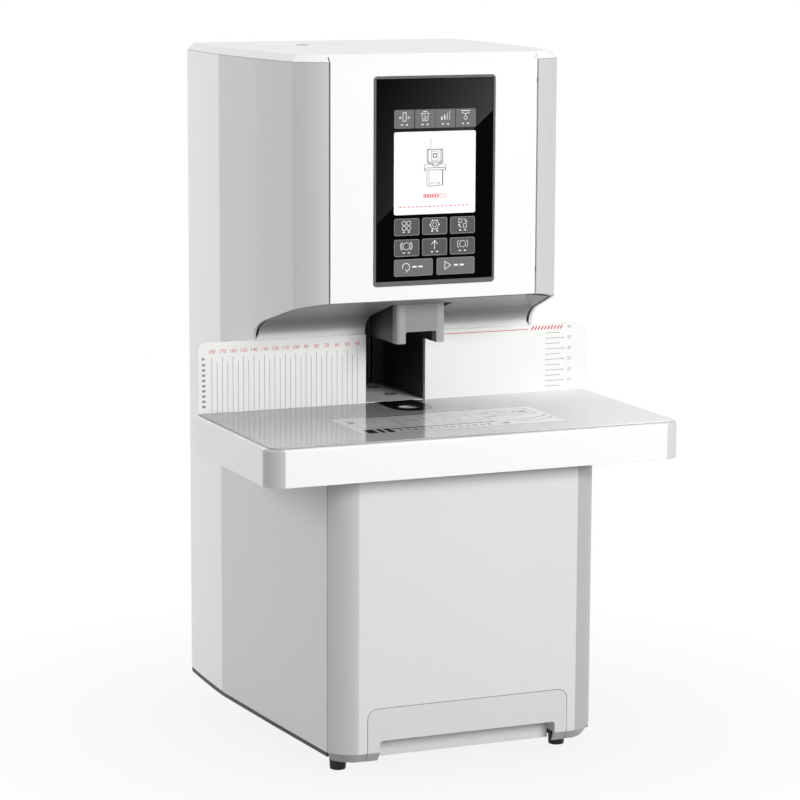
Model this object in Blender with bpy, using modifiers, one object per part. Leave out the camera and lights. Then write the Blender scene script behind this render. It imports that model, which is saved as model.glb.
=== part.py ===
"""Document riveting machine: a desk machine that clamps, drills and rivets a stack of papers.

Frame: +Z up, -Y towards the user, X = 0 in the machine's middle plane, Z = 0 on the desk.
"""
import math

import bmesh
import bpy
from mathutils import Matrix

MM = 0.001

# Clearances and drawing resolution
GAP = 0.3 * MM
RUN = 0.4 * MM
OVERRUN = 5 * MM
ROUND_SIDES = 24
SMALL_SIDES = 16
ARC_STEPS = 8
SIDE_STEPS = 6

# Overall sizes
MACHINE_DEPTH = 374 * MM
MACHINE_HEIGHT = 622 * MM
TABLE_WIDTH = 389.6 * MM
TABLE_REACH = 190.1 * MM

# The overall sizes divided into shares of about a millimetre, which what is inside is measured in
HEIGHT_SHARES = 622
FRONT_SHARES = 190.1
BACK_SHARES = 183.9
HIGH = MACHINE_HEIGHT / HEIGHT_SHARES
FORE = TABLE_REACH / FRONT_SHARES
BACK = (MACHINE_DEPTH - TABLE_REACH) / BACK_SHARES
MEAN = (HIGH + FORE + BACK) / 3

TABLE_TOP = 301.5 * HIGH
FRONT_Y = -MACHINE_DEPTH / 2
REAR_Y = MACHINE_DEPTH / 2
BACKSTOP_Y = FRONT_Y + TABLE_REACH

# Place of the drilled hole, in front of the backstop
HOLE_REACH = 31 * FORE
HOLE_Y = BACKSTOP_Y - HOLE_REACH

# Housing plan: base, head and rear cover
WALL = 2.5 * MM
BASE_REACH = 167.4 * FORE
BASE_FLAT_HALF = 104 * MM
BASE_CREASE_HALF = 126.6 * MM
BASE_CORNER_DEPTH = 17.9 * FORE
HEAD_REACH = 86.3 * FORE
DOOR_HALF = 99.4 * MM
HEAD_CREASE_HALF = 126.6 * MM
HEAD_CORNER_DEPTH = 18.3 * FORE
CORNER_LEAD = 2.5 * FORE
SEAM_HALF = 142.3 * MM
SEAM_REACH = 76.3 * BACK
SIDE_BULGE = 0.6 * MM
REAR_HALF = 138.9 * MM
REAR_CORNER = 12 * MM
HEAD_EASE_SHARE = 1.2
BASE_FRONT_Y = BACKSTOP_Y - BASE_REACH
BASE_CREASE_Y = BASE_FRONT_Y + BASE_CORNER_DEPTH
HEAD_FRONT_Y = BACKSTOP_Y - HEAD_REACH
HEAD_CREASE_Y = HEAD_FRONT_Y + HEAD_CORNER_DEPTH
SEAM_Y = BACKSTOP_Y + SEAM_REACH

# Housing heights
SIDE_BOTTOM = 23 * HIGH
LIP_BOTTOM = 14.5 * HIGH
LIP_INSET = 6 * MM
TABLE_THICKNESS = 33.8 * HIGH
TOP_BEVEL = 6.5 * MM
TABLE_BOTTOM = TABLE_TOP - TABLE_THICKNESS
SIDE_TOP = MACHINE_HEIGHT - TOP_BEVEL
TOP_PLATE = 2.5 * MM

# Throat between table and head, behind the backstop plates
PLATE_THICKNESS = 2.3 * MM
HEAD_UNDER = 105.1 * HIGH
THROAT_SLOPE_DEPTH = 67.7 * FORE
THROAT_SLOPE_DROP = 21.1 * HIGH
THROAT_CORNER_DROP = 20 * HIGH
THROAT_Y = BACKSTOP_Y + PLATE_THICKNESS + GAP
HEAD_BOTTOM = TABLE_TOP + HEAD_UNDER
SLOT_HALF = 29.3 * MM
SLOT_FRONT_REACH = 62 * FORE
RECESS_DEPTH = 101 * BACK
RECESS_WALL = 2 * MM
RECESS_TOP_DROP = 3.5 * HIGH
RECESS_BACK_Y = BACKSTOP_Y + RECESS_DEPTH

# Base plate and feet
BASE_PLATE = 4 * HIGH
FOOT_RADIUS = 8 * MM
FOOT_TIP_RADIUS = 7 * MM
FOOT_X = 106.6 * MM
FOOT_FRONT_INSET = 42.7 * FORE
FOOT_REAR_INSET = 46 * BACK
BASE_PLATE_TOP = SIDE_BOTTOM - GAP
BASE_PLATE_BOTTOM = BASE_PLATE_TOP - BASE_PLATE

# Scrap drawer
DRAWER_HALF = 95.6 * MM
DRAWER_TOP = 62 * HIGH
DRAWER_CORNER = 9 * MM
GRIP_HALF = 84.1 * MM
GRIP_TOP = 33.2 * HIGH
GRIP_CORNER = 3 * MM
GRIP_DEPTH = 17 * FORE
GRIP_WALL = 2 * MM
GRIP_SKIRT = 1 * HIGH
TRAY_HALF = 88 * MM
TRAY_BACK = 47.6 * BACK
TRAY_DROP = 3 * HIGH
TRAY_WALL = 2 * MM

# Worktable
TABLE_CORNER = 15 * MM
TABLE_BEVEL = 2.3 * MM
SHEET = 1 * MM
SHEET_EDGE = 4.4 * MM
TABLE_TOP_WALL = 3 * MM
PAD_HALF = 19.2 * MM
PAD_REACH = 54.7 * FORE
PAD_HOLE = 9.7 * MEAN
LEFT_PLATE_OUTER = 190.9 * MM
RIGHT_PLATE_OUTER = 193.8 * MM
LEFT_PLATE_CORNER = 8 * MM
RIGHT_PLATE_CORNER = 12 * MM
PLATE_HEIGHT = 63.5 * HIGH
PLATE_INNER_CORNER = 1 * MM

# Door, hinge and display
DOOR_THICKNESS = 4.8 * MM
HINGE_PIN = 0.8 * MM
HINGE_EYE = 1.7 * MM
LUG_HEIGHT = 3 * HIGH
LUG_DROP = 20 * HIGH
LUG_ARM = 2 * MM
DOOR_REVEAL = 0.45 * MM
DOOR_LEFT_REVEAL = 1.5 * MM
BEZEL_HALF = 57.9 * MM
BEZEL_BOTTOM = 117.9 * HIGH
BEZEL_TOP = 301.1 * HIGH
BEZEL_RIM = 2 * MM
BEZEL_CORNER = 3 * MM
BEZEL_FOOT_RIM = 4 * MM
BEZEL_PROUD = 0.6 * MM
GLASS_THICKNESS = 2 * MM
BOARD_INSET = 6 * MM
BOARD_DEPTH = 10 * MM

# Steel frame
COLUMN_HALF = 118 * MM
COLUMN_FACE = 124.9 * BACK
COLUMN_THICKNESS = 6 * BACK
COLUMN_TOP_DROP = 16 * HIGH
ARM_HALF = 28 * MM
ARM_FRONT_REACH = 78 * FORE
ARM_DEPTH = 45 * HIGH
FLOOR_THICKNESS = 5.2 * HIGH
COLUMN_Y = BACKSTOP_Y + COLUMN_FACE
ARM_TOP = TABLE_TOP - FLOOR_THICKNESS - 2 * GAP

# Presser
PRESSER_HALF = 23.6 * MM
PRESSER_FRONT_REACH = 58 * FORE
PRESSER_REAR_DEPTH = 6.4 * BACK
PRESSER_LIFT = 61.5 * HIGH
PRESSER_HEIGHT = 40 * HIGH
PRESSER_NOTCH_HALF = 14.8 * MM
PRESSER_NOTCH = 10.5 * HIGH
PRESSER_BORE = 14 * MEAN
PRESSER_CORNER = 4 * MM
PRESSER_REAR_CORNER = 1 * MM
PRESSER_NOTCH_CORNER = 2 * MM
FORK_INNER = 14.3 * MM
FORK_PLATE = 4 * MM
FORK_HEIGHT = 18 * HIGH
CARRIAGE_HALF = 26 * MM
CARRIAGE_DEPTH = 15 * BACK
CARRIAGE_HEIGHT = 34 * HIGH
PRESSER_ROD = 5 * BACK
PRESSER_ROD_X = 19 * MM
PRESSER_SCREW = 4 * BACK
PRESSER_MOTOR = 12.5 * BACK
PRESSER_MOTOR_LENGTH = 50 * HIGH
CAP_THICKNESS = 6 * HIGH

# Tool stack on the turret, from the tips upwards
TIP_CLEARANCE = 6 * HIGH
BIT_RADIUS = 3 * MM
BIT_WALL = 0.8 * MM
BIT_LENGTH = 80 * HIGH
CHUCK_RADIUS = 9 * MEAN
CHUCK_LENGTH = 22 * HIGH
CHUCK_SEAT = 10 * HIGH
SPINDLE_RADIUS = 6 * MEAN
PULLEY_LIFT = 4 * HIGH
PULLEY_RADIUS = 12 * MEAN
PULLEY_WIDTH = 12 * HIGH
DRIVE_RADIUS = 10 * MEAN
BELT_THICKNESS = 1.2 * MM
BELT_INSET = 1.5 * HIGH
TURRET_GAP = 3 * HIGH
TURRET_THICKNESS = 10 * HIGH
TURRET_END = 16.5 * MEAN
BEARING_RADIUS = 15 * MEAN
BEARING_HEIGHT = 18 * HIGH
SPINDLE_PROUD = 3 * HIGH
HUB_RADIUS = 26 * MEAN
HUB_BORE = 21.4 * MEAN
HUB_HEIGHT = 56 * HIGH
MOTOR_RADIUS = 21 * MEAN
MOTOR_HEIGHT = 54 * HIGH
SHAFT_RADIUS = 3 * MM
DIE_RADIUS = 5 * MM
DIE_BORE = 3.2 * MM
DIE_LENGTH = 40 * HIGH
HEATER_RADIUS = 13 * MEAN
HEATER_LENGTH = 30 * HIGH
QUILL_RADIUS = 9 * MEAN
QUILL_FLANGE = 12.5 * MEAN
FLANGE_THICKNESS = 5 * HIGH
QUILL_PROUD = 20 * HIGH

# Lift that carries the turret
LIFT_X = 108 * MM
LIFT_ROD = 6 * MEAN
LIFT_SCREW = 5 * MEAN
LIFT_ROD_SPREAD = 47.5 * BACK
LIFT_REACH = 52.5 * BACK
SHELF_THICKNESS = 10 * HIGH
SHELF_LIFT = 5 * HIGH
SHELF_RING = 36 * MEAN
BLOCK_HALF = 11 * MM
BLOCK_END = 14 * MEAN
BLOCK_RISE = 20 * HIGH
BLOCK_DROP = 10 * HIGH
BRACKET_HALF = 18 * MM
BRACKET_END = 14 * MEAN
BRACKET_THICKNESS = 8 * HIGH
LIFT_MOTOR = 19 * MEAN
LIFT_MOTOR_LENGTH = 50 * HIGH
WHEEL_RADIUS = 16 * MEAN
WHEEL_WIDTH = 6 * HIGH
TURRET_MOTOR = 14 * MEAN
WHEEL_ANGLE = math.radians(-10)

# Tube feeder above the turret's loading place
TUBE_X = -52.6 * MM
TUBE_REACH = 98.9 * BACK
TUBE_BORE = 3.4 * MM
FEEDER_HALF = 24 * MM
FEEDER_FRONT = 12 * BACK
FEEDER_BACK = 12 * BACK
FEEDER_HEIGHT = 38 * HIGH
FEEDER_WALL = 4 * HIGH
FEEDER_PLATE = 3 * MM
ROLLER_RADIUS = 6.3 * MEAN
ROLLER_SHAFT = 2 * MM
ROLLER_X = 9.3 * MM
CUTTER_THICKNESS = 1.6 * HIGH
CUTTER_HALF = 6 * MM
CUTTER_SHY = 4.5 * MM
SOLENOID_LENGTH = 32 * MM
SOLENOID_HEIGHT = 18 * HIGH
SOLENOID_HALF = 9 * MM
GUIDE_RADIUS = 5 * MM
INLET_RADIUS = 6.6 * MM

# Lower shuttle with cutting pad and lower die
SHUTTLE_TRAVEL = 40 * MM
SHUTTLE_HALF = 14 * MEAN
SHUTTLE_THICKNESS = 8 * HIGH
SHUTTLE_BED = 8 * HIGH
SHUTTLE_DROP = 9.4 * HIGH
CUTTING_PAD = 9.2 * MEAN
LOWER_DIE = 8 * MEAN
DIE_CUP = 4 * MM
DIE_CUP_DEPTH = 2 * HIGH
BED_END = 8 * MM
ACTUATOR_START = 12 * MM
ACTUATOR_LENGTH = 58 * MM
ACTUATOR_HALF = 10 * MEAN
ACTUATOR_HEIGHT = 12 * HIGH
SHUTTLE_ROD = 3 * MEAN

# Power and waste parts
SUPPLY_WIDTH = 100 * MM
SUPPLY_HEIGHT = 90 * HIGH
SUPPLY_DEPTH = 40 * BACK
SUPPLY_LIFT = 60 * HIGH
SUPPLY_X = 25 * MM
INLET_WIDTH = 28 * MM
INLET_HEIGHT = 20 * HIGH
INLET_DEPTH = 8 * BACK
INLET_X = -90 * MM
INLET_Z = 70 * HIGH
INLET_POCKET_WIDTH = 20 * MM
INLET_POCKET_HEIGHT = 12 * HIGH
INLET_POCKET_DEPTH = 6 * BACK
ROCKER_WIDTH = 13 * MM
ROCKER_HEIGHT = 19 * HIGH
ROCKER_DEPTH = 6 * BACK
ROCKER_X = -60 * MM
ROCKER_CLEARANCE = 1 * HIGH
CHUTE_HALF = 20 * MEAN
CHUTE_WALL = 1.5 * MM
CHUTE_TOP_DROP = 14 * HIGH
CHUTE_BOTTOM = 68 * HIGH
CHUTE_SHIFT = 80 * BACK
CHUTE_FLANGE = 20 * HIGH
CHUTE_FRONT = 22 * BACK

# Places worked out from the sizes above
TUBE_Y = BACKSTOP_Y + TUBE_REACH
PIVOT_X = TUBE_X / 2
PIVOT_Y = (HOLE_Y + TUBE_Y) / 2
PRESSER_BOTTOM = TABLE_TOP + PRESSER_LIFT
PRESSER_TOP = PRESSER_BOTTOM + PRESSER_HEIGHT
TIP_Z = PRESSER_TOP + TIP_CLEARANCE
CHUCK_BOTTOM = TIP_Z + BIT_LENGTH
PULLEY_BOTTOM = CHUCK_BOTTOM + CHUCK_LENGTH + PULLEY_LIFT
PULLEY_TOP = PULLEY_BOTTOM + PULLEY_WIDTH
TURRET_BOTTOM = PULLEY_TOP + TURRET_GAP
TURRET_TOP = TURRET_BOTTOM + TURRET_THICKNESS
BEARING_TOP = TURRET_TOP + BEARING_HEIGHT
SPINDLE_TOP = BEARING_TOP + SPINDLE_PROUD
SHELF_BOTTOM = SPINDLE_TOP + SHELF_LIFT
SHELF_TOP = SHELF_BOTTOM + SHELF_THICKNESS
FEEDER_BOTTOM = SHELF_BOTTOM + CUTTER_THICKNESS + GAP
FEEDER_TOP = FEEDER_BOTTOM + FEEDER_HEIGHT
COLUMN_TOP = MACHINE_HEIGHT - COLUMN_TOP_DROP
CAP_TOP = PRESSER_TOP + TIP_CLEARANCE / 2
CAP_BOTTOM = CAP_TOP - CAP_THICKNESS
CARRIAGE_FRONT_Y = RECESS_BACK_Y + RECESS_WALL + RUN
PRESSER_ROD_Y = CARRIAGE_FRONT_Y + CARRIAGE_DEPTH / 2
CARRIAGE_TOP = CAP_BOTTOM - RUN
BRACKET_TOP = PRESSER_TOP + TIP_CLEARANCE
BRACKET_BOTTOM = BRACKET_TOP - BRACKET_THICKNESS
HINGE_X = DOOR_HALF - DOOR_THICKNESS / 2
HINGE_Y = HEAD_FRONT_Y + DOOR_THICKNESS / 2
LIFT_Y = BACKSTOP_Y + LIFT_REACH
BED_TOP = TABLE_TOP - SHEET - SHUTTLE_DROP - SHUTTLE_THICKNESS - GAP

# Finishes: colour, roughness, metallic
FINISHES = {
    "white_shell": ((0.86, 0.86, 0.87), 0.35, 0),
    "grey_sheet": ((0.5, 0.5, 0.51), 0.15, 0),
    "printed_plate": ((0.82, 0.82, 0.81), 0.4, 0),
    "black_plastic": ((0.02, 0.02, 0.02), 0.4, 0),
    "black_glass": ((0.01, 0.01, 0.012), 0.05, 0),
    "grey_rim": ((0.2, 0.2, 0.21), 0.35, 0),
    "black_steel": ((0.04, 0.04, 0.045), 0.5, 0),
    "grey_paint": ((0.35, 0.35, 0.36), 0.4, 0),
    "bright_steel": ((0.6, 0.6, 0.62), 0.25, 1),
    "aluminium": ((0.7, 0.7, 0.72), 0.4, 1),
    "rubber": ((0.015, 0.015, 0.015), 0.8, 0),
    "nylon": ((0.85, 0.85, 0.82), 0.45, 0),
    "brass": ((0.7, 0.5, 0.2), 0.3, 1),
    "green_board": ((0.02, 0.18, 0.08), 0.5, 0),
    "motor_case": ((0.08, 0.08, 0.09), 0.45, 0),
}


def clear_scene():
    """Remove everything that a new file holds."""
    for item in list(bpy.data.objects):
        bpy.data.objects.remove(item, do_unlink=True)


def make_collection(name):
    """Add a collection under the scene."""
    group = bpy.data.collections.new(name)
    bpy.context.scene.collection.children.link(group)
    return group


clear_scene()
PARTS = make_collection("document_riveting_machine")
CUTTERS = make_collection("cutters")


def finish(name):
    """Return the Principled material of that name, made the first time it is asked for."""
    found = bpy.data.materials.get(name)
    if found:
        return found
    colour, roughness, metallic = FINISHES[name]
    made = bpy.data.materials.new(name)
    made.use_nodes = True
    shader = made.node_tree.nodes["Principled BSDF"]
    shader.inputs["Base Color"].default_value = (*colour, 1)
    shader.inputs["Roughness"].default_value = roughness
    shader.inputs["Metallic"].default_value = metallic
    return made


def place(name, mesh, material):
    """Add a mesh as a named piece, or as a cutter when no material is given."""
    piece = bpy.data.objects.new(name, mesh)
    if material is None:
        CUTTERS.objects.link(piece)
        piece.hide_render = True
        piece.display_type = "WIRE"
        return piece
    PARTS.objects.link(piece)
    mesh.materials.clear()
    mesh.materials.append(finish(material))
    return piece


def box(name, low, high, material=None):
    """Make a box between two corners."""
    shape = bmesh.new()
    bmesh.ops.create_cube(shape, size=1)
    size = [b - a for a, b in zip(low, high)]
    centre = [(a + b) / 2 for a, b in zip(low, high)]
    fit = Matrix.Translation(centre) @ Matrix.Diagonal((*size, 1))
    bmesh.ops.transform(shape, matrix=fit, verts=shape.verts)
    mesh = bpy.data.meshes.new(name)
    shape.to_mesh(mesh)
    shape.free()
    return place(name, mesh, material)


def along(axis):
    """Turn a shape that was drawn along Z so that it lies along the named axis."""
    if axis == "X":
        return Matrix.Rotation(math.pi / 2, 4, "Y")
    if axis == "Y":
        return Matrix.Rotation(-math.pi / 2, 4, "X")
    return Matrix.Identity(4)


def rod(name, centre, radius, low, high, axis="Z", material=None, tip=None, sides=ROUND_SIDES):
    """Make a round bar along an axis through a point, between two values on that axis."""
    shape = bmesh.new()
    top = radius if tip is None else tip
    bmesh.ops.create_cone(shape, cap_ends=True, segments=sides, radius1=radius, radius2=top, depth=high - low)
    middle = list(centre)
    middle["XYZ".index(axis)] = (low + high) / 2
    bmesh.ops.transform(shape, matrix=Matrix.Translation(middle) @ along(axis), verts=shape.verts)
    mesh = bpy.data.meshes.new(name)
    shape.to_mesh(mesh)
    shape.free()
    return place(name, mesh, material)


def turned(name, centre, profile, axis="Z", material=None, sides=ROUND_SIDES):
    """Turn a profile of (radius, height) points about an axis with a Screw modifier."""
    mesh = bpy.data.meshes.new(name)
    points = [(r, 0, z) for r, z in profile]
    pairs = [(i, (i + 1) % len(points)) for i in range(len(points))]
    edges = [(a, b) for a, b in pairs if profile[a][0] or profile[b][0]]
    mesh.from_pydata(points, edges, [])
    piece = place(name, mesh, material)
    spin = piece.modifiers.new("turn", "SCREW")
    spin.steps = sides
    spin.render_steps = sides
    spin.use_merge_vertices = True
    spin.merge_threshold = 0.1 * GAP
    piece.matrix_world = Matrix.Translation(centre) @ along(axis)
    return piece


def ring(name, centre, outer, inner, low, high, axis="Z", material=None, sides=ROUND_SIDES):
    """Make a tube, given between two values on its axis."""
    start = list(centre)
    start["XYZ".index(axis)] = low
    depth = high - low
    profile = [(outer, depth), (outer, 0), (inner, 0), (inner, depth)]
    return turned(name, start, profile, axis, material, sides)


def circle(x, y, radius, sides=ROUND_SIDES):
    """Points of a circle."""
    step = 2 * math.pi / sides
    return [(x + radius * math.cos(i * step), y + radius * math.sin(i * step)) for i in range(sides)]


def arc(x, y, radius, start, end, steps=ARC_STEPS):
    """Points of an arc between two angles in degrees."""
    angles = [math.radians(start + (end - start) * i / steps) for i in range(steps + 1)]
    return [(x + radius * math.cos(a), y + radius * math.sin(a)) for a in angles]


def rounded(low, high, radii):
    """Rectangle with its own corner radius at lower left, lower right, upper right and upper left."""
    (x0, y0), (x1, y1) = low, high
    corners = ((x0, y0, 1, 1, 180), (x1, y0, -1, 1, 270), (x1, y1, -1, -1, 0), (x0, y1, 1, -1, 90))
    points = []
    for (x, y, along_x, along_y, start), radius in zip(corners, radii):
        if radius:
            points += arc(x + along_x * radius, y + along_y * radius, radius, start, start + 90)
        else:
            points.append((x, y))
    return points


PLANES = {
    "XY": Matrix.Identity(4),
    "XZ": Matrix(((1, 0, 0, 0), (0, 0, -1, 0), (0, 1, 0, 0), (0, 0, 0, 1))),
    "YZ": Matrix(((0, 0, 1, 0), (1, 0, 0, 0), (0, 1, 0, 0), (0, 0, 0, 1))),
}


def outline(name, loops, low, high, plane="XY", material=None):
    """Extrude flat loops, the first one outside and the rest as holes, between two values."""
    curve = bpy.data.curves.new(name, "CURVE")
    curve.dimensions = "2D"
    curve.fill_mode = "BOTH"
    curve.extrude = (high - low) / 2
    for loop in loops:
        spline = curve.splines.new("POLY")
        spline.points.add(len(loop) - 1)
        for point, (u, v) in zip(spline.points, loop):
            point.co = (u, v, 0, 1)
        spline.use_cyclic_u = True
    drawn = bpy.data.objects.new(name, curve)
    bpy.context.scene.collection.objects.link(drawn)
    middle = (low + high) / 2
    shift = {"XY": (0, 0, middle), "XZ": (0, middle, 0), "YZ": (middle, 0, 0)}[plane]
    drawn.matrix_world = Matrix.Translation(shift) @ PLANES[plane]
    bpy.context.view_layer.update()
    mesh = bpy.data.meshes.new_from_object(drawn.evaluated_get(bpy.context.evaluated_depsgraph_get()))
    shape = bmesh.new()
    shape.from_mesh(mesh)
    bmesh.ops.remove_doubles(shape, verts=shape.verts, dist=0.1 * GAP)
    bmesh.ops.transform(shape, matrix=drawn.matrix_world, verts=shape.verts)
    bmesh.ops.recalc_face_normals(shape, faces=shape.faces)
    shape.to_mesh(mesh)
    shape.free()
    bpy.data.objects.remove(drawn, do_unlink=True)
    return place(name, mesh, material)


def combine(piece, tool, operation):
    """Cut a piece with a tool, or join the tool to it, with an exact Boolean."""
    step = piece.modifiers.new(operation.lower(), "BOOLEAN")
    step.operation = operation
    step.solver = "EXACT"
    step.object = tool
    return piece


def cut(piece, *tools):
    """Take the tools away from the piece."""
    for tool in tools:
        combine(piece, tool, "DIFFERENCE")
    return piece


def join(piece, *tools):
    """Weld the tools to the piece."""
    for tool in tools:
        combine(piece, tool, "UNION")
    return piece


def offset_path(path, distance):
    """Move an open path sideways, to the left of its direction."""
    moved = []
    for i, (x, y) in enumerate(path):
        before = path[max(i - 1, 0)]
        after = path[min(i + 1, len(path) - 1)]
        run_x, run_y = after[0] - before[0], after[1] - before[1]
        length = math.hypot(run_x, run_y)
        moved.append((x - run_y / length * distance, y + run_x / length * distance))
    return moved


def wall(name, rows, material=None, thickness=WALL):
    """Raise a wall on plan paths of equal count, each with an inset and a height; Solidify adds the wall."""
    points = []
    for path, inset, height in rows:
        points += [(x, y, height) for x, y in offset_path(path, inset)]
    count = len(rows[0][0])
    faces = []
    for r in range(len(rows) - 1):
        for c in range(count - 1):
            faces.append((r * count + c, r * count + c + 1, (r + 1) * count + c + 1, (r + 1) * count + c))
    mesh = bpy.data.meshes.new(name)
    mesh.from_pydata(points, [], faces)
    piece = place(name, mesh, material)
    shell = piece.modifiers.new("wall", "SOLIDIFY")
    shell.thickness = thickness
    shell.offset = -1
    shell.use_even_offset = True
    return piece


def pivot(name, place_at, pieces):
    """Add an empty on a joint's axis and hang pieces on it where they are."""
    empty = bpy.data.objects.new(name, None)
    empty.location = place_at
    PARTS.objects.link(empty)
    for piece in pieces:
        piece.parent = empty
        piece.matrix_parent_inverse = Matrix.Translation(place_at).inverted()
    return empty


def bezier(start, control, end, steps=ARC_STEPS):
    """Points of a quadratic curve between two plan points."""
    points = []
    for i in range(steps + 1):
        t = i / steps
        weights = ((1 - t) ** 2, 2 * t * (1 - t), t ** 2)
        points.append(tuple(sum(w * p[k] for w, p in zip(weights, (start, control, end))) for k in (0, 1)))
    return points


def base_half(y):
    """Half width of the base and column sides at a depth."""
    t = (y - BASE_CREASE_Y) / (SEAM_Y - BASE_CREASE_Y)
    return BASE_CREASE_HALF + (SEAM_HALF - BASE_CREASE_HALF) * t + 4 * SIDE_BULGE * t * (1 - t)


def head_half(y):
    """Half width of the head's sides at a depth: it meets the column at the throat."""
    if y >= THROAT_Y:
        return base_half(y)
    t = (y - HEAD_CREASE_Y) / (THROAT_Y - HEAD_CREASE_Y)
    return HEAD_CREASE_HALF + (base_half(THROAT_Y) - HEAD_CREASE_HALF) * (1 - (1 - t) ** HEAD_EASE_SHARE)


def spread(low, high, steps):
    """Even steps between two values, both included."""
    return [low + (high - low) * i / steps for i in range(steps + 1)]


def column_path():
    """Right side from just behind the throat's back to the seam."""
    return [(base_half(y), y) for y in spread(THROAT_Y + WALL, SEAM_Y - GAP / 2, 4)]


def base_side_path():
    """Right side of the base from its front crease to the throat's back, in as many steps as the head's."""
    return [(base_half(y), y) for y in spread(BASE_CREASE_Y + GAP / 2, THROAT_Y, ARC_STEPS + SIDE_STEPS)]


def head_side_path(start_x):
    """Right side of the head from the door's edge round the corner to the throat's back."""
    start = (start_x, HEAD_FRONT_Y)
    end = (HEAD_CREASE_HALF, HEAD_CREASE_Y)
    control = ((start_x + HEAD_CREASE_HALF) / 2, HEAD_FRONT_Y + CORNER_LEAD)
    side = [(head_half(y), y) for y in spread(HEAD_CREASE_Y, THROAT_Y, SIDE_STEPS)]
    return bezier(start, control, end)[:-1] + side


def base_corner_path():
    """Right front corner of the base, from its flat front to its crease."""
    start = (BASE_FLAT_HALF, BASE_FRONT_Y)
    end = (BASE_CREASE_HALF, BASE_CREASE_Y - GAP / 2)
    control = ((BASE_FLAT_HALF + BASE_CREASE_HALF) / 2 + CORNER_LEAD, BASE_FRONT_Y + CORNER_LEAD)
    return bezier(start, control, end)


def rear_path():
    """Right side behind the seam and the rear corner, as far as the flat back."""
    corner_y = REAR_Y - REAR_CORNER
    points = []
    for y in spread(SEAM_Y + GAP / 2, corner_y, 4):
        t = (y - SEAM_Y) / (corner_y - SEAM_Y)
        points.append((SEAM_HALF + (REAR_HALF - SEAM_HALF) * t ** 2, y))
    return points[:-1] + arc(REAR_HALF - REAR_CORNER, corner_y, REAR_CORNER, 0, 90)


def mirrored(path):
    """The same path on the left side, run the other way."""
    return [(-x, y) for x, y in reversed(path)]


def throat_profile():
    """Underside of the head and back of the throat, from front to back, as (y, z) points."""
    front = (HEAD_FRONT_Y, HEAD_BOTTOM)
    slope_end = (HEAD_FRONT_Y + THROAT_SLOPE_DEPTH, HEAD_BOTTOM - THROAT_SLOPE_DROP)
    low = slope_end[1] - THROAT_CORNER_DROP
    knee = (THROAT_Y, slope_end[1] - THROAT_CORNER_DROP / 3)
    return [front] + bezier(slope_end, knee, (THROAT_Y, low))


def lug_loops():
    """Plan outlines of a hinge lug, an eye on an arm of the side panel, and of its slot in the door."""
    arm_front = HEAD_FRONT_Y + DOOR_THICKNESS + GAP
    arm_back = arm_front + LUG_ARM
    middle = (arm_front + arm_back) / 2
    path = offset_path(head_side_path(DOOR_HALF + DOOR_REVEAL), WALL / 2)
    for (x0, y0), (x1, y1) in zip(path, path[1:]):
        if y0 <= middle < y1:
            reach = x0 + (x1 - x0) * (middle - y0) / (y1 - y0)
    lug = arc(HINGE_X, HINGE_Y, HINGE_EYE, 180, 360, 2 * ARC_STEPS)
    lug += [(HINGE_X + HINGE_EYE, arm_front), (reach, arm_front)]
    lug += [(reach, arm_back), (HINGE_X - HINGE_EYE, arm_back)]
    room = HINGE_EYE + GAP
    slot = arc(HINGE_X, HINGE_Y, room, 180, 270)
    slot += [(DOOR_HALF + OVERRUN, HINGE_Y - room), (DOOR_HALF + OVERRUN, HINGE_Y + OVERRUN)]
    slot += [(HINGE_X - room, HINGE_Y + OVERRUN)]
    return lug, slot


def raise_lugs(name, loop, grow):
    """The lower and the upper hinge lug, or the slots for them, raised from a plan outline."""
    lugs = []
    for word, z in (("lower", HEAD_BOTTOM + LUG_DROP), ("upper", SIDE_TOP - LUG_DROP)):
        lugs.append(outline(name + "_" + word, [loop], z - grow, z + LUG_HEIGHT + grow))
    return lugs


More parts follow.
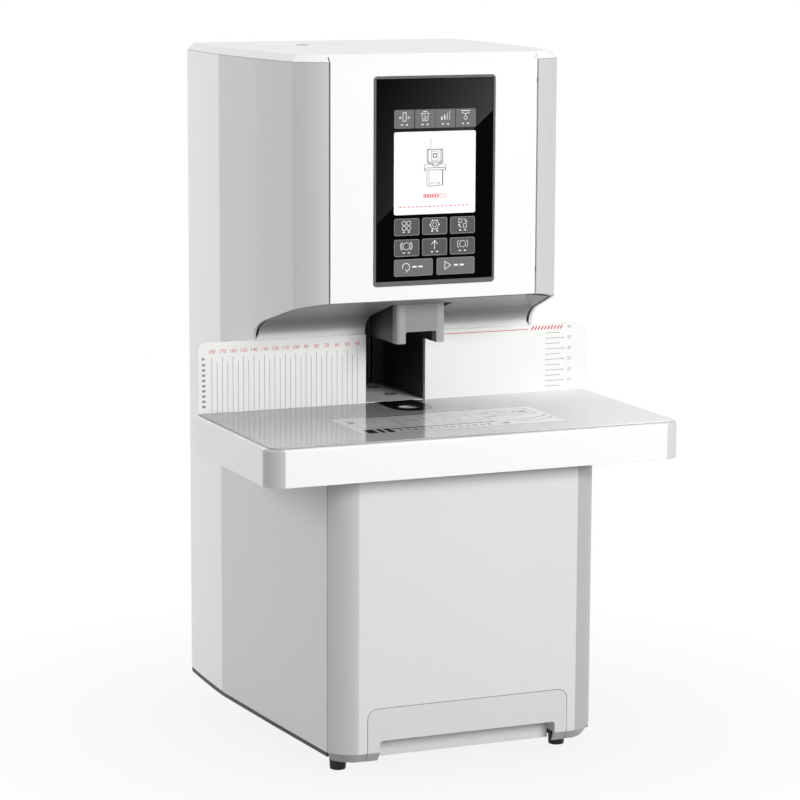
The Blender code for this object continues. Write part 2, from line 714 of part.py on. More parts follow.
def make_side_panels():
    """Side panels: base side, column side and head side in one C-shaped moulding, and its mirror."""
    lower = base_side_path()[:-1] + column_path()
    upper = head_side_path(DOOR_HALF + DOOR_REVEAL)[:-1] + column_path()
    middle = (TABLE_BOTTOM + TABLE_TOP) / 2
    rows = ((lower, 0, SIDE_BOTTOM), (lower, 0, middle), (upper, 0, TABLE_TOP), (upper, 0, SIDE_TOP))
    piece = wall("right_side_panel", rows, "white_shell")
    profile = throat_profile()
    opening = [(FRONT_Y, HEAD_BOTTOM + (profile[0][0] - FRONT_Y) * THROAT_SLOPE_DROP / THROAT_SLOPE_DEPTH)]
    opening += profile[1:] + [(THROAT_Y, TABLE_BOTTOM - GAP), (FRONT_Y, TABLE_BOTTOM - GAP)]
    cut(piece, outline("panel_throat", [opening], HEAD_CREASE_HALF / 2, SEAM_HALF * 2, "YZ"))
    end, before = base_corner_path()[-1], base_corner_path()[-2]
    run_x, run_y = (end[0] - before[0]) / (end[1] - before[1]), 1
    length = math.hypot(run_x, run_y)
    corner_x, corner_y = end[0] + GAP * run_x / length, end[1] + GAP * run_y / length
    mitre = [(corner_x + OVERRUN, corner_y - OVERRUN * run_x), (corner_x, corner_y),
             (corner_x - 2 * OVERRUN, corner_y + 2 * OVERRUN * run_x),
             (corner_x - 2 * OVERRUN, corner_y - 2 * OVERRUN)]
    cut(piece, outline("panel_mitre", [mitre], SIDE_BOTTOM - OVERRUN, TABLE_BOTTOM, "XY"))
    cut(piece, box("panel_door_room", (0, FRONT_Y, HEAD_BOTTOM - OVERRUN),
                   (DOOR_HALF + GAP, HEAD_FRONT_Y + DOOR_THICKNESS + WALL, SIDE_TOP + OVERRUN)))
    bpy.context.view_layer.update()
    mesh = bpy.data.meshes.new_from_object(piece.evaluated_get(bpy.context.evaluated_depsgraph_get()))
    mesh.transform(Matrix.Diagonal((-1, 1, 1, 1)))
    mesh.flip_normals()
    place("left_side_panel", mesh, "white_shell")
    join(piece, *raise_lugs("panel_lug", lug_loops()[0], 0))
    return cut(piece, rod("panel_pin_hole", (HINGE_X, HINGE_Y, 0), HINGE_PIN + GAP, HEAD_BOTTOM - OVERRUN,
                          SIDE_TOP, "Z", None, None, SMALL_SIDES))


def make_rear_cover():
    """Rear cover: a U-shaped shell behind the seam, with the power openings."""
    path = rear_path() + mirrored(rear_path())
    piece = wall("rear_cover", ((path, 0, SIDE_BOTTOM), (path, 0, SIDE_TOP)), "white_shell")
    wide, tall = INLET_WIDTH / 2 + GAP, INLET_HEIGHT / 2 + GAP
    inlet = box("rear_inlet_hole", (INLET_X - wide, REAR_Y - 2 * REAR_CORNER, INLET_Z - tall),
                (INLET_X + wide, REAR_Y + OVERRUN, INLET_Z + tall))
    wide, tall = ROCKER_WIDTH / 2 + GAP, ROCKER_HEIGHT / 2 + ROCKER_CLEARANCE
    rocker = box("rear_rocker_hole", (ROCKER_X - wide, REAR_Y - 2 * REAR_CORNER, INLET_Z - tall),
                 (ROCKER_X + wide, REAR_Y + OVERRUN, INLET_Z + tall))
    return cut(piece, inlet, rocker)


def head_loop(inset):
    """Closed outline of the head's top, moved inwards."""
    right = head_side_path(DOOR_HALF + DOOR_REVEAL)[:-1] + column_path()[:-1] + rear_path()
    path = offset_path(right, inset)
    return path + mirrored(path)


def make_top_cover():
    """Top cover: a lid with a broad bevelled rim, a notch for the door and the tube hole."""
    low, high = head_loop(0), head_loop(TOP_BEVEL)
    count = len(low)
    points = [(x, y, SIDE_TOP + GAP) for x, y in low] + [(x, y, MACHINE_HEIGHT) for x, y in high]
    faces = [(i, (i + 1) % count, count + (i + 1) % count, count + i) for i in range(count)]
    faces += [tuple(reversed(range(count))), tuple(range(count, 2 * count))]
    mesh = bpy.data.meshes.new("top_cover")
    mesh.from_pydata(points, [], faces)
    piece = place("top_cover", mesh, "white_shell")
    hollow = outline("top_hollow", [head_loop(2 * WALL)], SIDE_TOP - OVERRUN, MACHINE_HEIGHT - TOP_PLATE)
    notch = box("top_notch", (-DOOR_HALF - GAP, HEAD_FRONT_Y - OVERRUN, SIDE_TOP - OVERRUN),
                (DOOR_HALF + GAP, HEAD_FRONT_Y + DOOR_THICKNESS + GAP, MACHINE_HEIGHT + OVERRUN))
    hole = rod("top_tube_hole", (TUBE_X, TUBE_Y, 0), INLET_RADIUS + GAP, SIDE_TOP, MACHINE_HEIGHT + OVERRUN)
    return cut(piece, hollow, notch, hole)


def make_throat_liner():
    """Throat liner: curved ceiling and back wall of the throat, slotted for the presser."""
    profile = throat_profile()
    edge = HEAD_FRONT_Y + DOOR_THICKNESS + GAP
    slope = THROAT_SLOPE_DROP / THROAT_SLOPE_DEPTH
    rows = [(edge, HEAD_BOTTOM - (edge - HEAD_FRONT_Y) * slope)]
    slot_y = BACKSTOP_Y - SLOT_FRONT_REACH
    rows += [(y, HEAD_BOTTOM - (y - HEAD_FRONT_Y) * slope) for y in (HEAD_CREASE_Y, slot_y)]
    rows += profile[1:] + [(THROAT_Y, TABLE_TOP + GAP)]
    points, faces = [], []
    for y, z in rows:
        if y < HEAD_CREASE_Y:
            half = DOOR_HALF - WALL
        elif y < THROAT_Y:
            half = head_half(y) - 2 * WALL
        else:
            half = head_half(y) - WALL - GAP
        points += [(-half, y, z), (-SLOT_HALF, y, z), (SLOT_HALF, y, z), (half, y, z)]
    for r in range(len(rows) - 1):
        for c in (0, 1, 2):
            if c == 1 and rows[r][0] >= slot_y:
                continue
            faces.append((r * 4 + c, (r + 1) * 4 + c, (r + 1) * 4 + c + 1, r * 4 + c + 1))
    mesh = bpy.data.meshes.new("throat_liner")
    mesh.from_pydata(points, [], faces)
    piece = place("throat_liner", mesh, "white_shell")
    shell = piece.modifiers.new("wall", "SOLIDIFY")
    shell.thickness = WALL
    shell.offset = -1
    shell.use_even_offset = True
    return piece


def make_base_front():
    """Base front cover: flat front with rounded corners, a bottom lip and the drawer opening."""
    path = mirrored(base_corner_path()) + base_corner_path()
    rows = ((path, LIP_INSET, LIP_BOTTOM), (path, 0, SIDE_BOTTOM), (path, 0, TABLE_BOTTOM - GAP))
    piece = wall("base_front_cover", rows, "white_shell")
    low = (-DRAWER_HALF - GAP, LIP_BOTTOM - OVERRUN)
    high = (DRAWER_HALF + GAP, DRAWER_TOP + GAP)
    corner = DRAWER_CORNER + GAP
    opening = outline("drawer_opening", [rounded(low, high, (0, 0, corner, corner))],
                      BASE_FRONT_Y - OVERRUN, BASE_FRONT_Y + 2 * LIP_INSET, "XZ")
    return cut(piece, opening)


def make_base_plate():
    """Base plate: flat steel bottom that the feet, the frame and the covers stand on."""
    inset = LIP_INSET + WALL
    front = offset_path(base_corner_path(), inset + 2 * GAP)
    sides = [(base_half(y) - GAP, y) for y in spread(BASE_CREASE_Y + 2 * GAP, SEAM_Y, 2)]
    rear = offset_path(rear_path(), GAP)[1:]
    right = front + sides + rear
    loop = right + mirrored(right)
    piece = outline("base_plate", [loop], BASE_PLATE_BOTTOM, BASE_PLATE_TOP, "XY", "black_steel")
    low = (-GRIP_HALF, BASE_FRONT_Y - OVERRUN, BASE_PLATE_BOTTOM - OVERRUN)
    high = (GRIP_HALF, BASE_FRONT_Y + GRIP_DEPTH, BASE_PLATE_TOP + OVERRUN)
    return cut(piece, box("base_plate_notch", low, high))


def make_feet():
    """Rubber feet under the base plate's corners."""
    feet = []
    for y_name, y in (("front", BASE_FRONT_Y + FOOT_FRONT_INSET), ("rear", REAR_Y - FOOT_REAR_INSET)):
        for x_name, side in (("left", -1), ("right", 1)):
            name = "foot_" + y_name + "_" + x_name
            feet.append(rod(name, (side * FOOT_X, y, 0), FOOT_TIP_RADIUS, 0, BASE_PLATE_BOTTOM - GAP, "Z",
                            "rubber", FOOT_RADIUS, SMALL_SIDES))
    return feet


def make_drawer():
    """Scrap drawer: flush front with a finger cut-out, and an open tray behind it."""
    low, high = (-DRAWER_HALF, LIP_BOTTOM), (DRAWER_HALF, DRAWER_TOP)
    front_loop = rounded(low, high, (0, 0, DRAWER_CORNER, DRAWER_CORNER))
    piece = outline("scrap_drawer", [front_loop], BASE_FRONT_Y, BASE_FRONT_Y + WALL, "XZ", "white_shell")
    tray_bottom = BASE_PLATE_TOP + RUN
    tray_top = DRAWER_TOP - TRAY_DROP
    tray = box("drawer_tray", (-TRAY_HALF, BASE_FRONT_Y + WALL / 2, tray_bottom),
               (TRAY_HALF, BACKSTOP_Y + TRAY_BACK, tray_top))
    grip_back = BASE_FRONT_Y + GRIP_DEPTH - GAP
    hollow = box("drawer_hollow", (-TRAY_HALF + TRAY_WALL, grip_back, tray_bottom + TRAY_WALL),
                 (TRAY_HALF - TRAY_WALL, BACKSTOP_Y + TRAY_BACK - TRAY_WALL, tray_top + OVERRUN))
    radii = (0, 0, GRIP_CORNER, GRIP_CORNER)
    grip_loop = rounded((-GRIP_HALF, LIP_BOTTOM - OVERRUN), (GRIP_HALF, GRIP_TOP), radii)
    grip = outline("drawer_grip", [grip_loop], BASE_FRONT_Y - OVERRUN, grip_back - GRIP_WALL, "XZ")
    skirt = box("drawer_skirt", (-GRIP_HALF + GAP, grip_back - GRIP_WALL, LIP_BOTTOM + GRIP_SKIRT),
                (GRIP_HALF - GAP, grip_back, GRIP_TOP))
    bevel_loop = [(BASE_FRONT_Y - OVERRUN, SIDE_BOTTOM), (BASE_FRONT_Y, SIDE_BOTTOM),
                  (BASE_FRONT_Y + LIP_INSET, LIP_BOTTOM), (BASE_FRONT_Y + LIP_INSET, LIP_BOTTOM - OVERRUN),
                  (BASE_FRONT_Y - OVERRUN, LIP_BOTTOM - OVERRUN)]
    bevel = outline("drawer_bevel", [bevel_loop], -DRAWER_HALF - OVERRUN, DRAWER_HALF + OVERRUN, "YZ")
    lip_loop = [(BASE_FRONT_Y + WALL / 2, SIDE_BOTTOM + WALL), (BASE_FRONT_Y + WALL, SIDE_BOTTOM + WALL),
                (BASE_FRONT_Y + LIP_INSET + WALL / 2, LIP_BOTTOM), (BASE_FRONT_Y + WALL / 2, LIP_BOTTOM)]
    lip = outline("drawer_lip", [lip_loop], -DRAWER_HALF, DRAWER_HALF, "YZ")
    join(piece, lip, tray, skirt)
    cut(piece, hollow, grip, bevel)
    pivot("drawer_slide", (0, BASE_FRONT_Y, DRAWER_TOP), [piece])
    return piece


def table_loop(inset, back_inset=0):
    """Plan outline of the worktable, moved inwards."""
    half = TABLE_WIDTH / 2 - inset
    radius = TABLE_CORNER - inset
    back = THROAT_Y - GAP - back_inset
    low, high = (-half, FRONT_Y + inset), (half, back)
    return rounded(low, high, (radius, radius, 0, 0))


def pad_loop(grow):
    """Outline of the black pad: straight sides and a round front end."""
    half = PAD_HALF + grow
    middle = BACKSTOP_Y - PAD_REACH + PAD_HALF
    front = arc(0, middle, half, 180, 360, 2 * ARC_STEPS)
    return [(half, THROAT_Y - GAP), *reversed(front), (-half, THROAT_Y - GAP)]


def make_table():
    """Worktable body: white tray turned upside down, with a slot for the pad and die."""
    body_top = TABLE_TOP - SHEET - GAP
    piece = outline("worktable_body", [table_loop(0)], TABLE_BOTTOM, body_top, "XY", "white_shell")
    shape = bmesh.new()
    shape.from_mesh(piece.data)
    rim = [e for e in shape.edges if all(abs(v.co.z - body_top) < GAP for v in e.verts)
           and len(e.link_faces) == 2 and e.calc_face_angle(0) > 1 and e.verts[0].co.y < THROAT_Y - GAP * 2]
    bmesh.ops.bevel(shape, geom=rim, offset=TABLE_BEVEL, segments=2, profile=0.5, affect="EDGES")
    shape.to_mesh(piece.data)
    shape.free()
    ceiling = body_top - TABLE_TOP_WALL
    hollow = outline("table_hollow", [table_loop(WALL, WALL)], TABLE_BOTTOM - OVERRUN, ceiling)
    back = box("table_back_opening", (-HEAD_CREASE_HALF, BACKSTOP_Y - OVERRUN, TABLE_BOTTOM - OVERRUN),
               (HEAD_CREASE_HALF, THROAT_Y + OVERRUN, ceiling))
    wide = CUTTING_PAD + 4 * RUN
    slot = box("table_slot", (-SHUTTLE_TRAVEL - wide, HOLE_Y - wide, TABLE_BOTTOM),
               (SHUTTLE_TRAVEL + wide, HOLE_Y + wide, TABLE_TOP))
    return cut(piece, hollow, back, slot)


def make_table_sheet():
    """Grey glossy sheet on the worktable, cut out round the pad."""
    loop = table_loop(SHEET_EDGE)
    piece = outline("table_sheet", [loop], TABLE_TOP - SHEET, TABLE_TOP, "XY", "grey_sheet")
    pad = pad_loop(GAP)
    pad = [(pad[0][0], THROAT_Y + OVERRUN)] + pad[1:-1] + [(pad[-1][0], THROAT_Y + OVERRUN)]
    hole = outline("sheet_pad_hole", [pad], TABLE_TOP - OVERRUN, TABLE_TOP + OVERRUN)
    back = box("sheet_back", (-TABLE_WIDTH, BACKSTOP_Y - GAP, TABLE_TOP - OVERRUN),
               (TABLE_WIDTH, THROAT_Y + OVERRUN, TABLE_TOP + OVERRUN))
    return cut(piece, hole, back)


def make_pad():
    """Black pad plate flush in the worktable, with the round drilling hole."""
    loops = [pad_loop(0), circle(0, HOLE_Y, PAD_HOLE)]
    return outline("drill_pad_plate", loops, TABLE_TOP - SHEET, TABLE_TOP, "XY", "black_plastic")


def make_backstop(name, side):
    """Backstop plate with ruler marks, standing on the back of the worktable."""
    bottom = TABLE_TOP - SHEET
    if side > 0:
        radii = (0, 0, RIGHT_PLATE_CORNER, PLATE_INNER_CORNER)
        low, high = SLOT_HALF, RIGHT_PLATE_OUTER
    else:
        radii = (0, 0, PLATE_INNER_CORNER, LEFT_PLATE_CORNER)
        low, high = -LEFT_PLATE_OUTER, -SLOT_HALF
    loop = rounded((low, bottom), (high, TABLE_TOP + PLATE_HEIGHT), radii)
    return outline(name, [loop], BACKSTOP_Y, BACKSTOP_Y + PLATE_THICKNESS, "XZ", "printed_plate")


def make_recess_liner():
    """Black recess behind the hole: two side walls and a back wall slotted for the fork."""
    outer, inner = SLOT_HALF + RECESS_WALL, SLOT_HALF
    front, back = THROAT_Y + WALL + GAP, RECESS_BACK_Y
    loop = [(-outer, front), (-inner, front), (-inner, back), (inner, back), (inner, front), (outer, front),
            (outer, back + RECESS_WALL), (-outer, back + RECESS_WALL)]
    top = PRESSER_TOP - RECESS_TOP_DROP
    piece = outline("recess_liner", [loop], TABLE_TOP + GAP, top, "XY", "black_plastic")
    for index, side in enumerate((-1, 1)):
        low, high = sorted((side * (FORK_INNER - RUN), side * (FORK_INNER + FORK_PLATE + RUN)))
        slot = box("recess_slot_" + str(index), (low, back - OVERRUN, TABLE_TOP + WALL),
                   (high, back + OVERRUN, top + OVERRUN))
        cut(piece, slot)
    return piece


def make_floor_plate():
    """Grey steel floor of the recess, bolted on the frame's arm."""
    low = (-SLOT_HALF - RECESS_WALL, THROAT_Y + GAP, TABLE_TOP - FLOOR_THICKNESS - GAP)
    high = (SLOT_HALF + RECESS_WALL, RECESS_BACK_Y + RECESS_WALL, TABLE_TOP)
    return box("recess_floor_plate", low, high, "grey_paint")


def make_door():
    """Front door of the head: flat panel with a rounded hinge edge and the display opening."""
    radius = DOOR_THICKNESS / 2
    back = HEAD_FRONT_Y + DOOR_THICKNESS
    left = DOOR_LEFT_REVEAL - DOOR_REVEAL - DOOR_HALF
    loop = [(left, HEAD_FRONT_Y)] + arc(HINGE_X, HINGE_Y, radius, -90, 90) + [(left, back)]
    bore = circle(HINGE_X, HINGE_Y, HINGE_PIN + GAP, SMALL_SIDES)
    piece = outline("front_door", [loop, bore], HEAD_BOTTOM, MACHINE_HEIGHT, "XY", "white_shell")
    low = (-BEZEL_HALF - GAP, TABLE_TOP + BEZEL_BOTTOM - GAP)
    high = (BEZEL_HALF + GAP, TABLE_TOP + BEZEL_TOP + GAP)
    opening_loop = rounded(low, high, (BEZEL_CORNER + GAP,) * 4)
    opening = outline("door_opening", [opening_loop], HEAD_FRONT_Y - OVERRUN, back + OVERRUN, "XZ")
    bevel_loop = [(HEAD_FRONT_Y - OVERRUN, SIDE_TOP - OVERRUN), (HEAD_FRONT_Y, SIDE_TOP + GAP),
                  (HEAD_FRONT_Y + TOP_BEVEL, MACHINE_HEIGHT),
                  (HEAD_FRONT_Y + TOP_BEVEL, MACHINE_HEIGHT + OVERRUN),
                  (HEAD_FRONT_Y - OVERRUN, MACHINE_HEIGHT + OVERRUN)]
    bevel = outline("door_bevel", [bevel_loop], -DOOR_HALF - OVERRUN, DOOR_HALF + OVERRUN, "YZ")
    return cut(piece, opening, bevel, *raise_lugs("door_slot", lug_loops()[1], GAP))


def make_hinge_pin():
    """Steel pin that the door turns on, held by the right side panel's lugs."""
    high = SIDE_TOP - LUG_DROP + 2 * LUG_HEIGHT
    return rod("door_hinge_pin", (HINGE_X, HINGE_Y, 0), HINGE_PIN, HEAD_BOTTOM, high, "Z",
               "bright_steel", None, SMALL_SIDES)


def make_display():
    """Touch display on the door: rim, glass and the board behind the glass."""
    low = (-BEZEL_HALF, TABLE_TOP + BEZEL_BOTTOM)
    high = (BEZEL_HALF, TABLE_TOP + BEZEL_TOP)
    inner_low = (low[0] + BEZEL_RIM, low[1] + BEZEL_FOOT_RIM)
    inner_high = (high[0] - BEZEL_RIM, high[1] - BEZEL_RIM)
    front = HEAD_FRONT_Y - BEZEL_PROUD
    loops = [rounded(low, high, (BEZEL_CORNER,) * 4), rounded(inner_low, inner_high, (0, 0, 0, 0))]
    bezel = outline("display_bezel", loops, front, HEAD_FRONT_Y + DOOR_THICKNESS, "XZ", "grey_rim")
    glass = box("display_glass", (inner_low[0] + GAP, front + GAP, inner_low[1] + GAP),
                (inner_high[0] - GAP, front + GAP + GLASS_THICKNESS, inner_high[1] - GAP), "black_glass")
    board_front = front + GLASS_THICKNESS + 2 * GAP
    board_low = (inner_low[0] + BOARD_INSET, board_front, inner_low[1] + BOARD_INSET)
    board_high = (inner_high[0] - BOARD_INSET, board_front + BOARD_DEPTH, inner_high[1] - BOARD_INSET)
    board = box("control_board", board_low, board_high, "green_board")
    return [bezel, glass, board]


def make_frame():
    """Welded steel frame: column plate, lower arm, rod cap and the two brackets of the lift."""
    piece = box("column_frame", (-COLUMN_HALF, COLUMN_Y, BASE_PLATE_TOP + GAP),
                (COLUMN_HALF, COLUMN_Y + COLUMN_THICKNESS, COLUMN_TOP), "black_steel")
    bottom = BED_TOP - SHUTTLE_BED - ARM_DEPTH
    step_y = THROAT_Y + GAP
    arm_loop = [(BACKSTOP_Y - ARM_FRONT_REACH, bottom), (COLUMN_Y + COLUMN_THICKNESS / 2, bottom),
                (COLUMN_Y + COLUMN_THICKNESS / 2, ARM_TOP), (step_y, ARM_TOP),
                (step_y, BED_TOP - SHUTTLE_BED),
                (BACKSTOP_Y - ARM_FRONT_REACH, BED_TOP - SHUTTLE_BED)]
    arm = outline("frame_arm", [arm_loop], -ARM_HALF, ARM_HALF, "YZ")
    cap = box("frame_rod_cap", (-ARM_HALF, CARRIAGE_FRONT_Y, CAP_BOTTOM),
              (ARM_HALF, COLUMN_Y + COLUMN_THICKNESS / 2, CAP_TOP))
    bed_right = SHUTTLE_TRAVEL + SHUTTLE_HALF + ACTUATOR_START + ACTUATOR_LENGTH
    bed_low = (-SHUTTLE_TRAVEL - SHUTTLE_HALF - BED_END, HOLE_Y - SHUTTLE_HALF, BED_TOP - SHUTTLE_BED - WALL)
    bed = box("frame_shuttle_bed", bed_low, (bed_right, HOLE_Y + SHUTTLE_HALF, BED_TOP))
    join(piece, arm, cap, bed)
    brackets = (("lower", BRACKET_BOTTOM, BRACKET_TOP), ("upper", COLUMN_TOP - CAP_THICKNESS, COLUMN_TOP))
    for name, low, high in brackets:
        bracket = box("frame_bracket_" + name,
                      (LIFT_X - BRACKET_HALF, LIFT_Y - LIFT_ROD_SPREAD - BRACKET_END, low),
                      (LIFT_X + BRACKET_HALF, COLUMN_Y + COLUMN_THICKNESS, high))
        join(piece, bracket)
    screw = rod("frame_presser_hole", (0, PRESSER_ROD_Y, 0), PRESSER_SCREW + RUN, bottom - OVERRUN,
                ARM_TOP + OVERRUN)
    lift = rod("frame_lift_hole", (LIFT_X, LIFT_Y, 0), LIFT_SCREW + RUN, BRACKET_BOTTOM - OVERRUN,
               BRACKET_TOP + OVERRUN)
    return cut(piece, screw, lift)


def make_presser_foot():
    """Presser foot: notched block that clamps the papers round the hole."""
    low = (-PRESSER_HALF, BACKSTOP_Y - PRESSER_FRONT_REACH, PRESSER_BOTTOM)
    high = (PRESSER_HALF, BACKSTOP_Y + PRESSER_REAR_DEPTH, PRESSER_TOP)
    radii = (PRESSER_CORNER, PRESSER_CORNER, PRESSER_REAR_CORNER, PRESSER_REAR_CORNER)
    piece = outline("presser_foot", [rounded(low[:2], high[:2], radii)], PRESSER_BOTTOM, PRESSER_TOP, "XY",
                    "grey_paint")
    notch_low = (-PRESSER_NOTCH_HALF, PRESSER_BOTTOM - OVERRUN)
    notch_high = (PRESSER_NOTCH_HALF, PRESSER_BOTTOM + PRESSER_NOTCH)
    notch_loop = rounded(notch_low, notch_high, (0, 0, PRESSER_NOTCH_CORNER, PRESSER_NOTCH_CORNER))
    notch = outline("presser_notch", [notch_loop], low[1] - OVERRUN, high[1] + OVERRUN, "XZ")
    bore = rod("presser_bore", (0, HOLE_Y, 0), PRESSER_BORE, PRESSER_BOTTOM - OVERRUN, PRESSER_TOP + OVERRUN)
    return cut(piece, notch, bore)


def make_presser_fork():
    """Presser fork: two side plates that run back through the recess to a guided block."""
    back = CARRIAGE_FRONT_Y + CARRIAGE_DEPTH
    piece = box("presser_fork", (-CARRIAGE_HALF, CARRIAGE_FRONT_Y, CARRIAGE_TOP - CARRIAGE_HEIGHT),
                (CARRIAGE_HALF, back, CARRIAGE_TOP), "black_steel")
    for index, side in enumerate((-1, 1)):
        low, high = sorted((side * FORK_INNER, side * (FORK_INNER + FORK_PLATE)))
        plate_low = (low, BACKSTOP_Y + PRESSER_REAR_DEPTH + GAP, CARRIAGE_TOP - FORK_HEIGHT - WALL)
        plate_high = (high, CARRIAGE_FRONT_Y + WALL, CARRIAGE_TOP - WALL)
        plate = box("fork_plate_" + str(index), plate_low, plate_high)
        join(piece, plate)
    for index, x in enumerate((-PRESSER_ROD_X, PRESSER_ROD_X)):
        cut(piece, rod("fork_bore_" + str(index), (x, PRESSER_ROD_Y, 0), PRESSER_ROD + GAP,
                       CARRIAGE_TOP - CARRIAGE_HEIGHT - OVERRUN, CARRIAGE_TOP + OVERRUN))
    nut = rod("fork_nut_bore", (0, PRESSER_ROD_Y, 0), PRESSER_SCREW + GAP,
              CARRIAGE_TOP - CARRIAGE_HEIGHT - OVERRUN, CARRIAGE_TOP + OVERRUN)
    return cut(piece, nut)


def make_presser_drive():
    """Guide rods, lead screw and motor of the presser."""
    rods = []
    for word, side in (("left", -1), ("right", 1)):
        rods.append(rod("presser_rod_" + word, (side * PRESSER_ROD_X, PRESSER_ROD_Y, 0), PRESSER_ROD,
                        ARM_TOP + GAP, CAP_BOTTOM - GAP, "Z", "bright_steel", None, SMALL_SIDES))
    top = BED_TOP - SHUTTLE_BED - ARM_DEPTH - GAP
    screw = rod("presser_screw", (0, PRESSER_ROD_Y, 0), PRESSER_SCREW, top + GAP, CAP_BOTTOM - GAP, "Z",
                "bright_steel", None, SMALL_SIDES)
    rod("presser_motor", (0, PRESSER_ROD_Y, 0), PRESSER_MOTOR, top - PRESSER_MOTOR_LENGTH, top, "Z",
        "motor_case")
    pivot("presser_screw_axis", (0, PRESSER_ROD_Y, CAP_BOTTOM), [screw])
    return rods + [screw]


def turret_point(side, across=0):
    """Point at the turret's drill end (side -1) or die end (side 1)."""
    return (PIVOT_X + side * TUBE_X / 2, PIVOT_Y + side * (TUBE_Y - HOLE_Y) / 2, across)


def make_turret():
    """Turret arm: bar with the drill's bearing, the die's seat and the motor's hub."""
    heading = math.degrees(math.atan2(TUBE_Y - HOLE_Y, TUBE_X))
    die_x, die_y, _ = turret_point(1)
    drill_x, drill_y, _ = turret_point(-1)
    loop = arc(die_x, die_y, TURRET_END, heading - 90, heading + 90, 2 * ARC_STEPS)
    loop += arc(PIVOT_X, PIVOT_Y, HUB_RADIUS, heading + 60, heading + 120)
    loop += arc(drill_x, drill_y, TURRET_END, heading + 90, heading + 270, 2 * ARC_STEPS)
    loop += arc(PIVOT_X, PIVOT_Y, HUB_RADIUS, heading + 240, heading + 300)
    piece = outline("turret_arm", [loop], TURRET_BOTTOM, TURRET_TOP, "XY", "aluminium")
    hub = rod("turret_hub", (PIVOT_X, PIVOT_Y, 0), HUB_RADIUS, TURRET_BOTTOM, TURRET_TOP + HUB_HEIGHT)
    bearing = rod("turret_bearing", turret_point(-1), BEARING_RADIUS, TURRET_BOTTOM, BEARING_TOP)
    join(piece, hub, bearing)
    bore = rod("turret_hub_bore", (PIVOT_X, PIVOT_Y, 0), HUB_BORE, TURRET_TOP,
               TURRET_TOP + HUB_HEIGHT + OVERRUN)
    shaft = rod("turret_shaft_bore", (PIVOT_X, PIVOT_Y, 0), SHAFT_RADIUS + RUN, TURRET_BOTTOM - OVERRUN,
                TURRET_TOP + OVERRUN)
    spindle = rod("turret_spindle_bore", turret_point(-1), SPINDLE_RADIUS + RUN, TURRET_BOTTOM - OVERRUN,
                  BEARING_TOP + OVERRUN)
    seat = rod("turret_die_bore", turret_point(1), QUILL_RADIUS + GAP, TURRET_BOTTOM - OVERRUN,
               TURRET_TOP + OVERRUN)
    return cut(piece, bore, shaft, spindle, seat)


def make_drill():
    """Drill unit on the turret: motor, drive pulley, belt, hollow spindle and hollow bit."""
    x, y, _ = turret_point(-1)
    rod("drill_motor", (PIVOT_X, PIVOT_Y, 0), MOTOR_RADIUS, TURRET_TOP + GAP,
        TURRET_TOP + GAP + MOTOR_HEIGHT, "Z", "motor_case")
    shaft_top = TURRET_TOP - PULLEY_BOTTOM
    drive = turned("drill_drive_pulley", (PIVOT_X, PIVOT_Y, PULLEY_BOTTOM),
                   [(SHAFT_RADIUS, shaft_top), (SHAFT_RADIUS, PULLEY_WIDTH), (DRIVE_RADIUS, PULLEY_WIDTH),
                    (DRIVE_RADIUS, 0), (0, 0), (0, shaft_top)], "Z", "aluminium")
    bore = BIT_RADIUS + GAP
    heights = (SPINDLE_TOP, PULLEY_TOP, PULLEY_BOTTOM, CHUCK_BOTTOM + CHUCK_LENGTH)
    levels = [height - CHUCK_BOTTOM for height in heights]
    profile = [(SPINDLE_RADIUS, levels[0]), (SPINDLE_RADIUS, levels[1]), (PULLEY_RADIUS, levels[1]),
               (PULLEY_RADIUS, levels[2]), (SPINDLE_RADIUS, levels[2]), (SPINDLE_RADIUS, levels[3]),
               (CHUCK_RADIUS, levels[3]), (CHUCK_RADIUS, 0), (bore, 0), (bore, levels[0])]
    spindle = turned("drill_spindle", (x, y, CHUCK_BOTTOM), profile, "Z", "bright_steel")
    bit = ring("drill_bit", (x, y, 0), BIT_RADIUS, BIT_RADIUS - BIT_WALL, TIP_Z,
               CHUCK_BOTTOM + CHUCK_SEAT, "Z", "bright_steel", SMALL_SIDES)
    belt = make_belt("drill_belt", (PIVOT_X, PIVOT_Y), DRIVE_RADIUS, (x, y), PULLEY_RADIUS,
                     PULLEY_BOTTOM + BELT_INSET, PULLEY_TOP - BELT_INSET)
    pivot("drill_spindle_axis", (x, y, CHUCK_BOTTOM), [spindle, bit])
    pivot("drill_drive_axis", (PIVOT_X, PIVOT_Y, PULLEY_BOTTOM), [drive])
    return belt


def make_belt(name, first, first_radius, second, second_radius, low, high):
    """Flat belt round two pulleys."""
    heading = math.degrees(math.atan2(second[1] - first[1], second[0] - first[0]))
    distance = math.hypot(second[0] - first[0], second[1] - first[1])
    lean = math.degrees(math.asin((second_radius - first_radius) / distance))
    loops = []
    for grow in (GAP + BELT_THICKNESS, GAP):
        loop = arc(*second, second_radius + grow, heading - 90 - lean, heading + 90 + lean, 2 * ARC_STEPS)
        loop += arc(*first, first_radius + grow, heading + 90 + lean, heading + 270 - lean, 2 * ARC_STEPS)
        loops.append(loop)
    return outline(name, loops, low, high, "XY", "rubber")


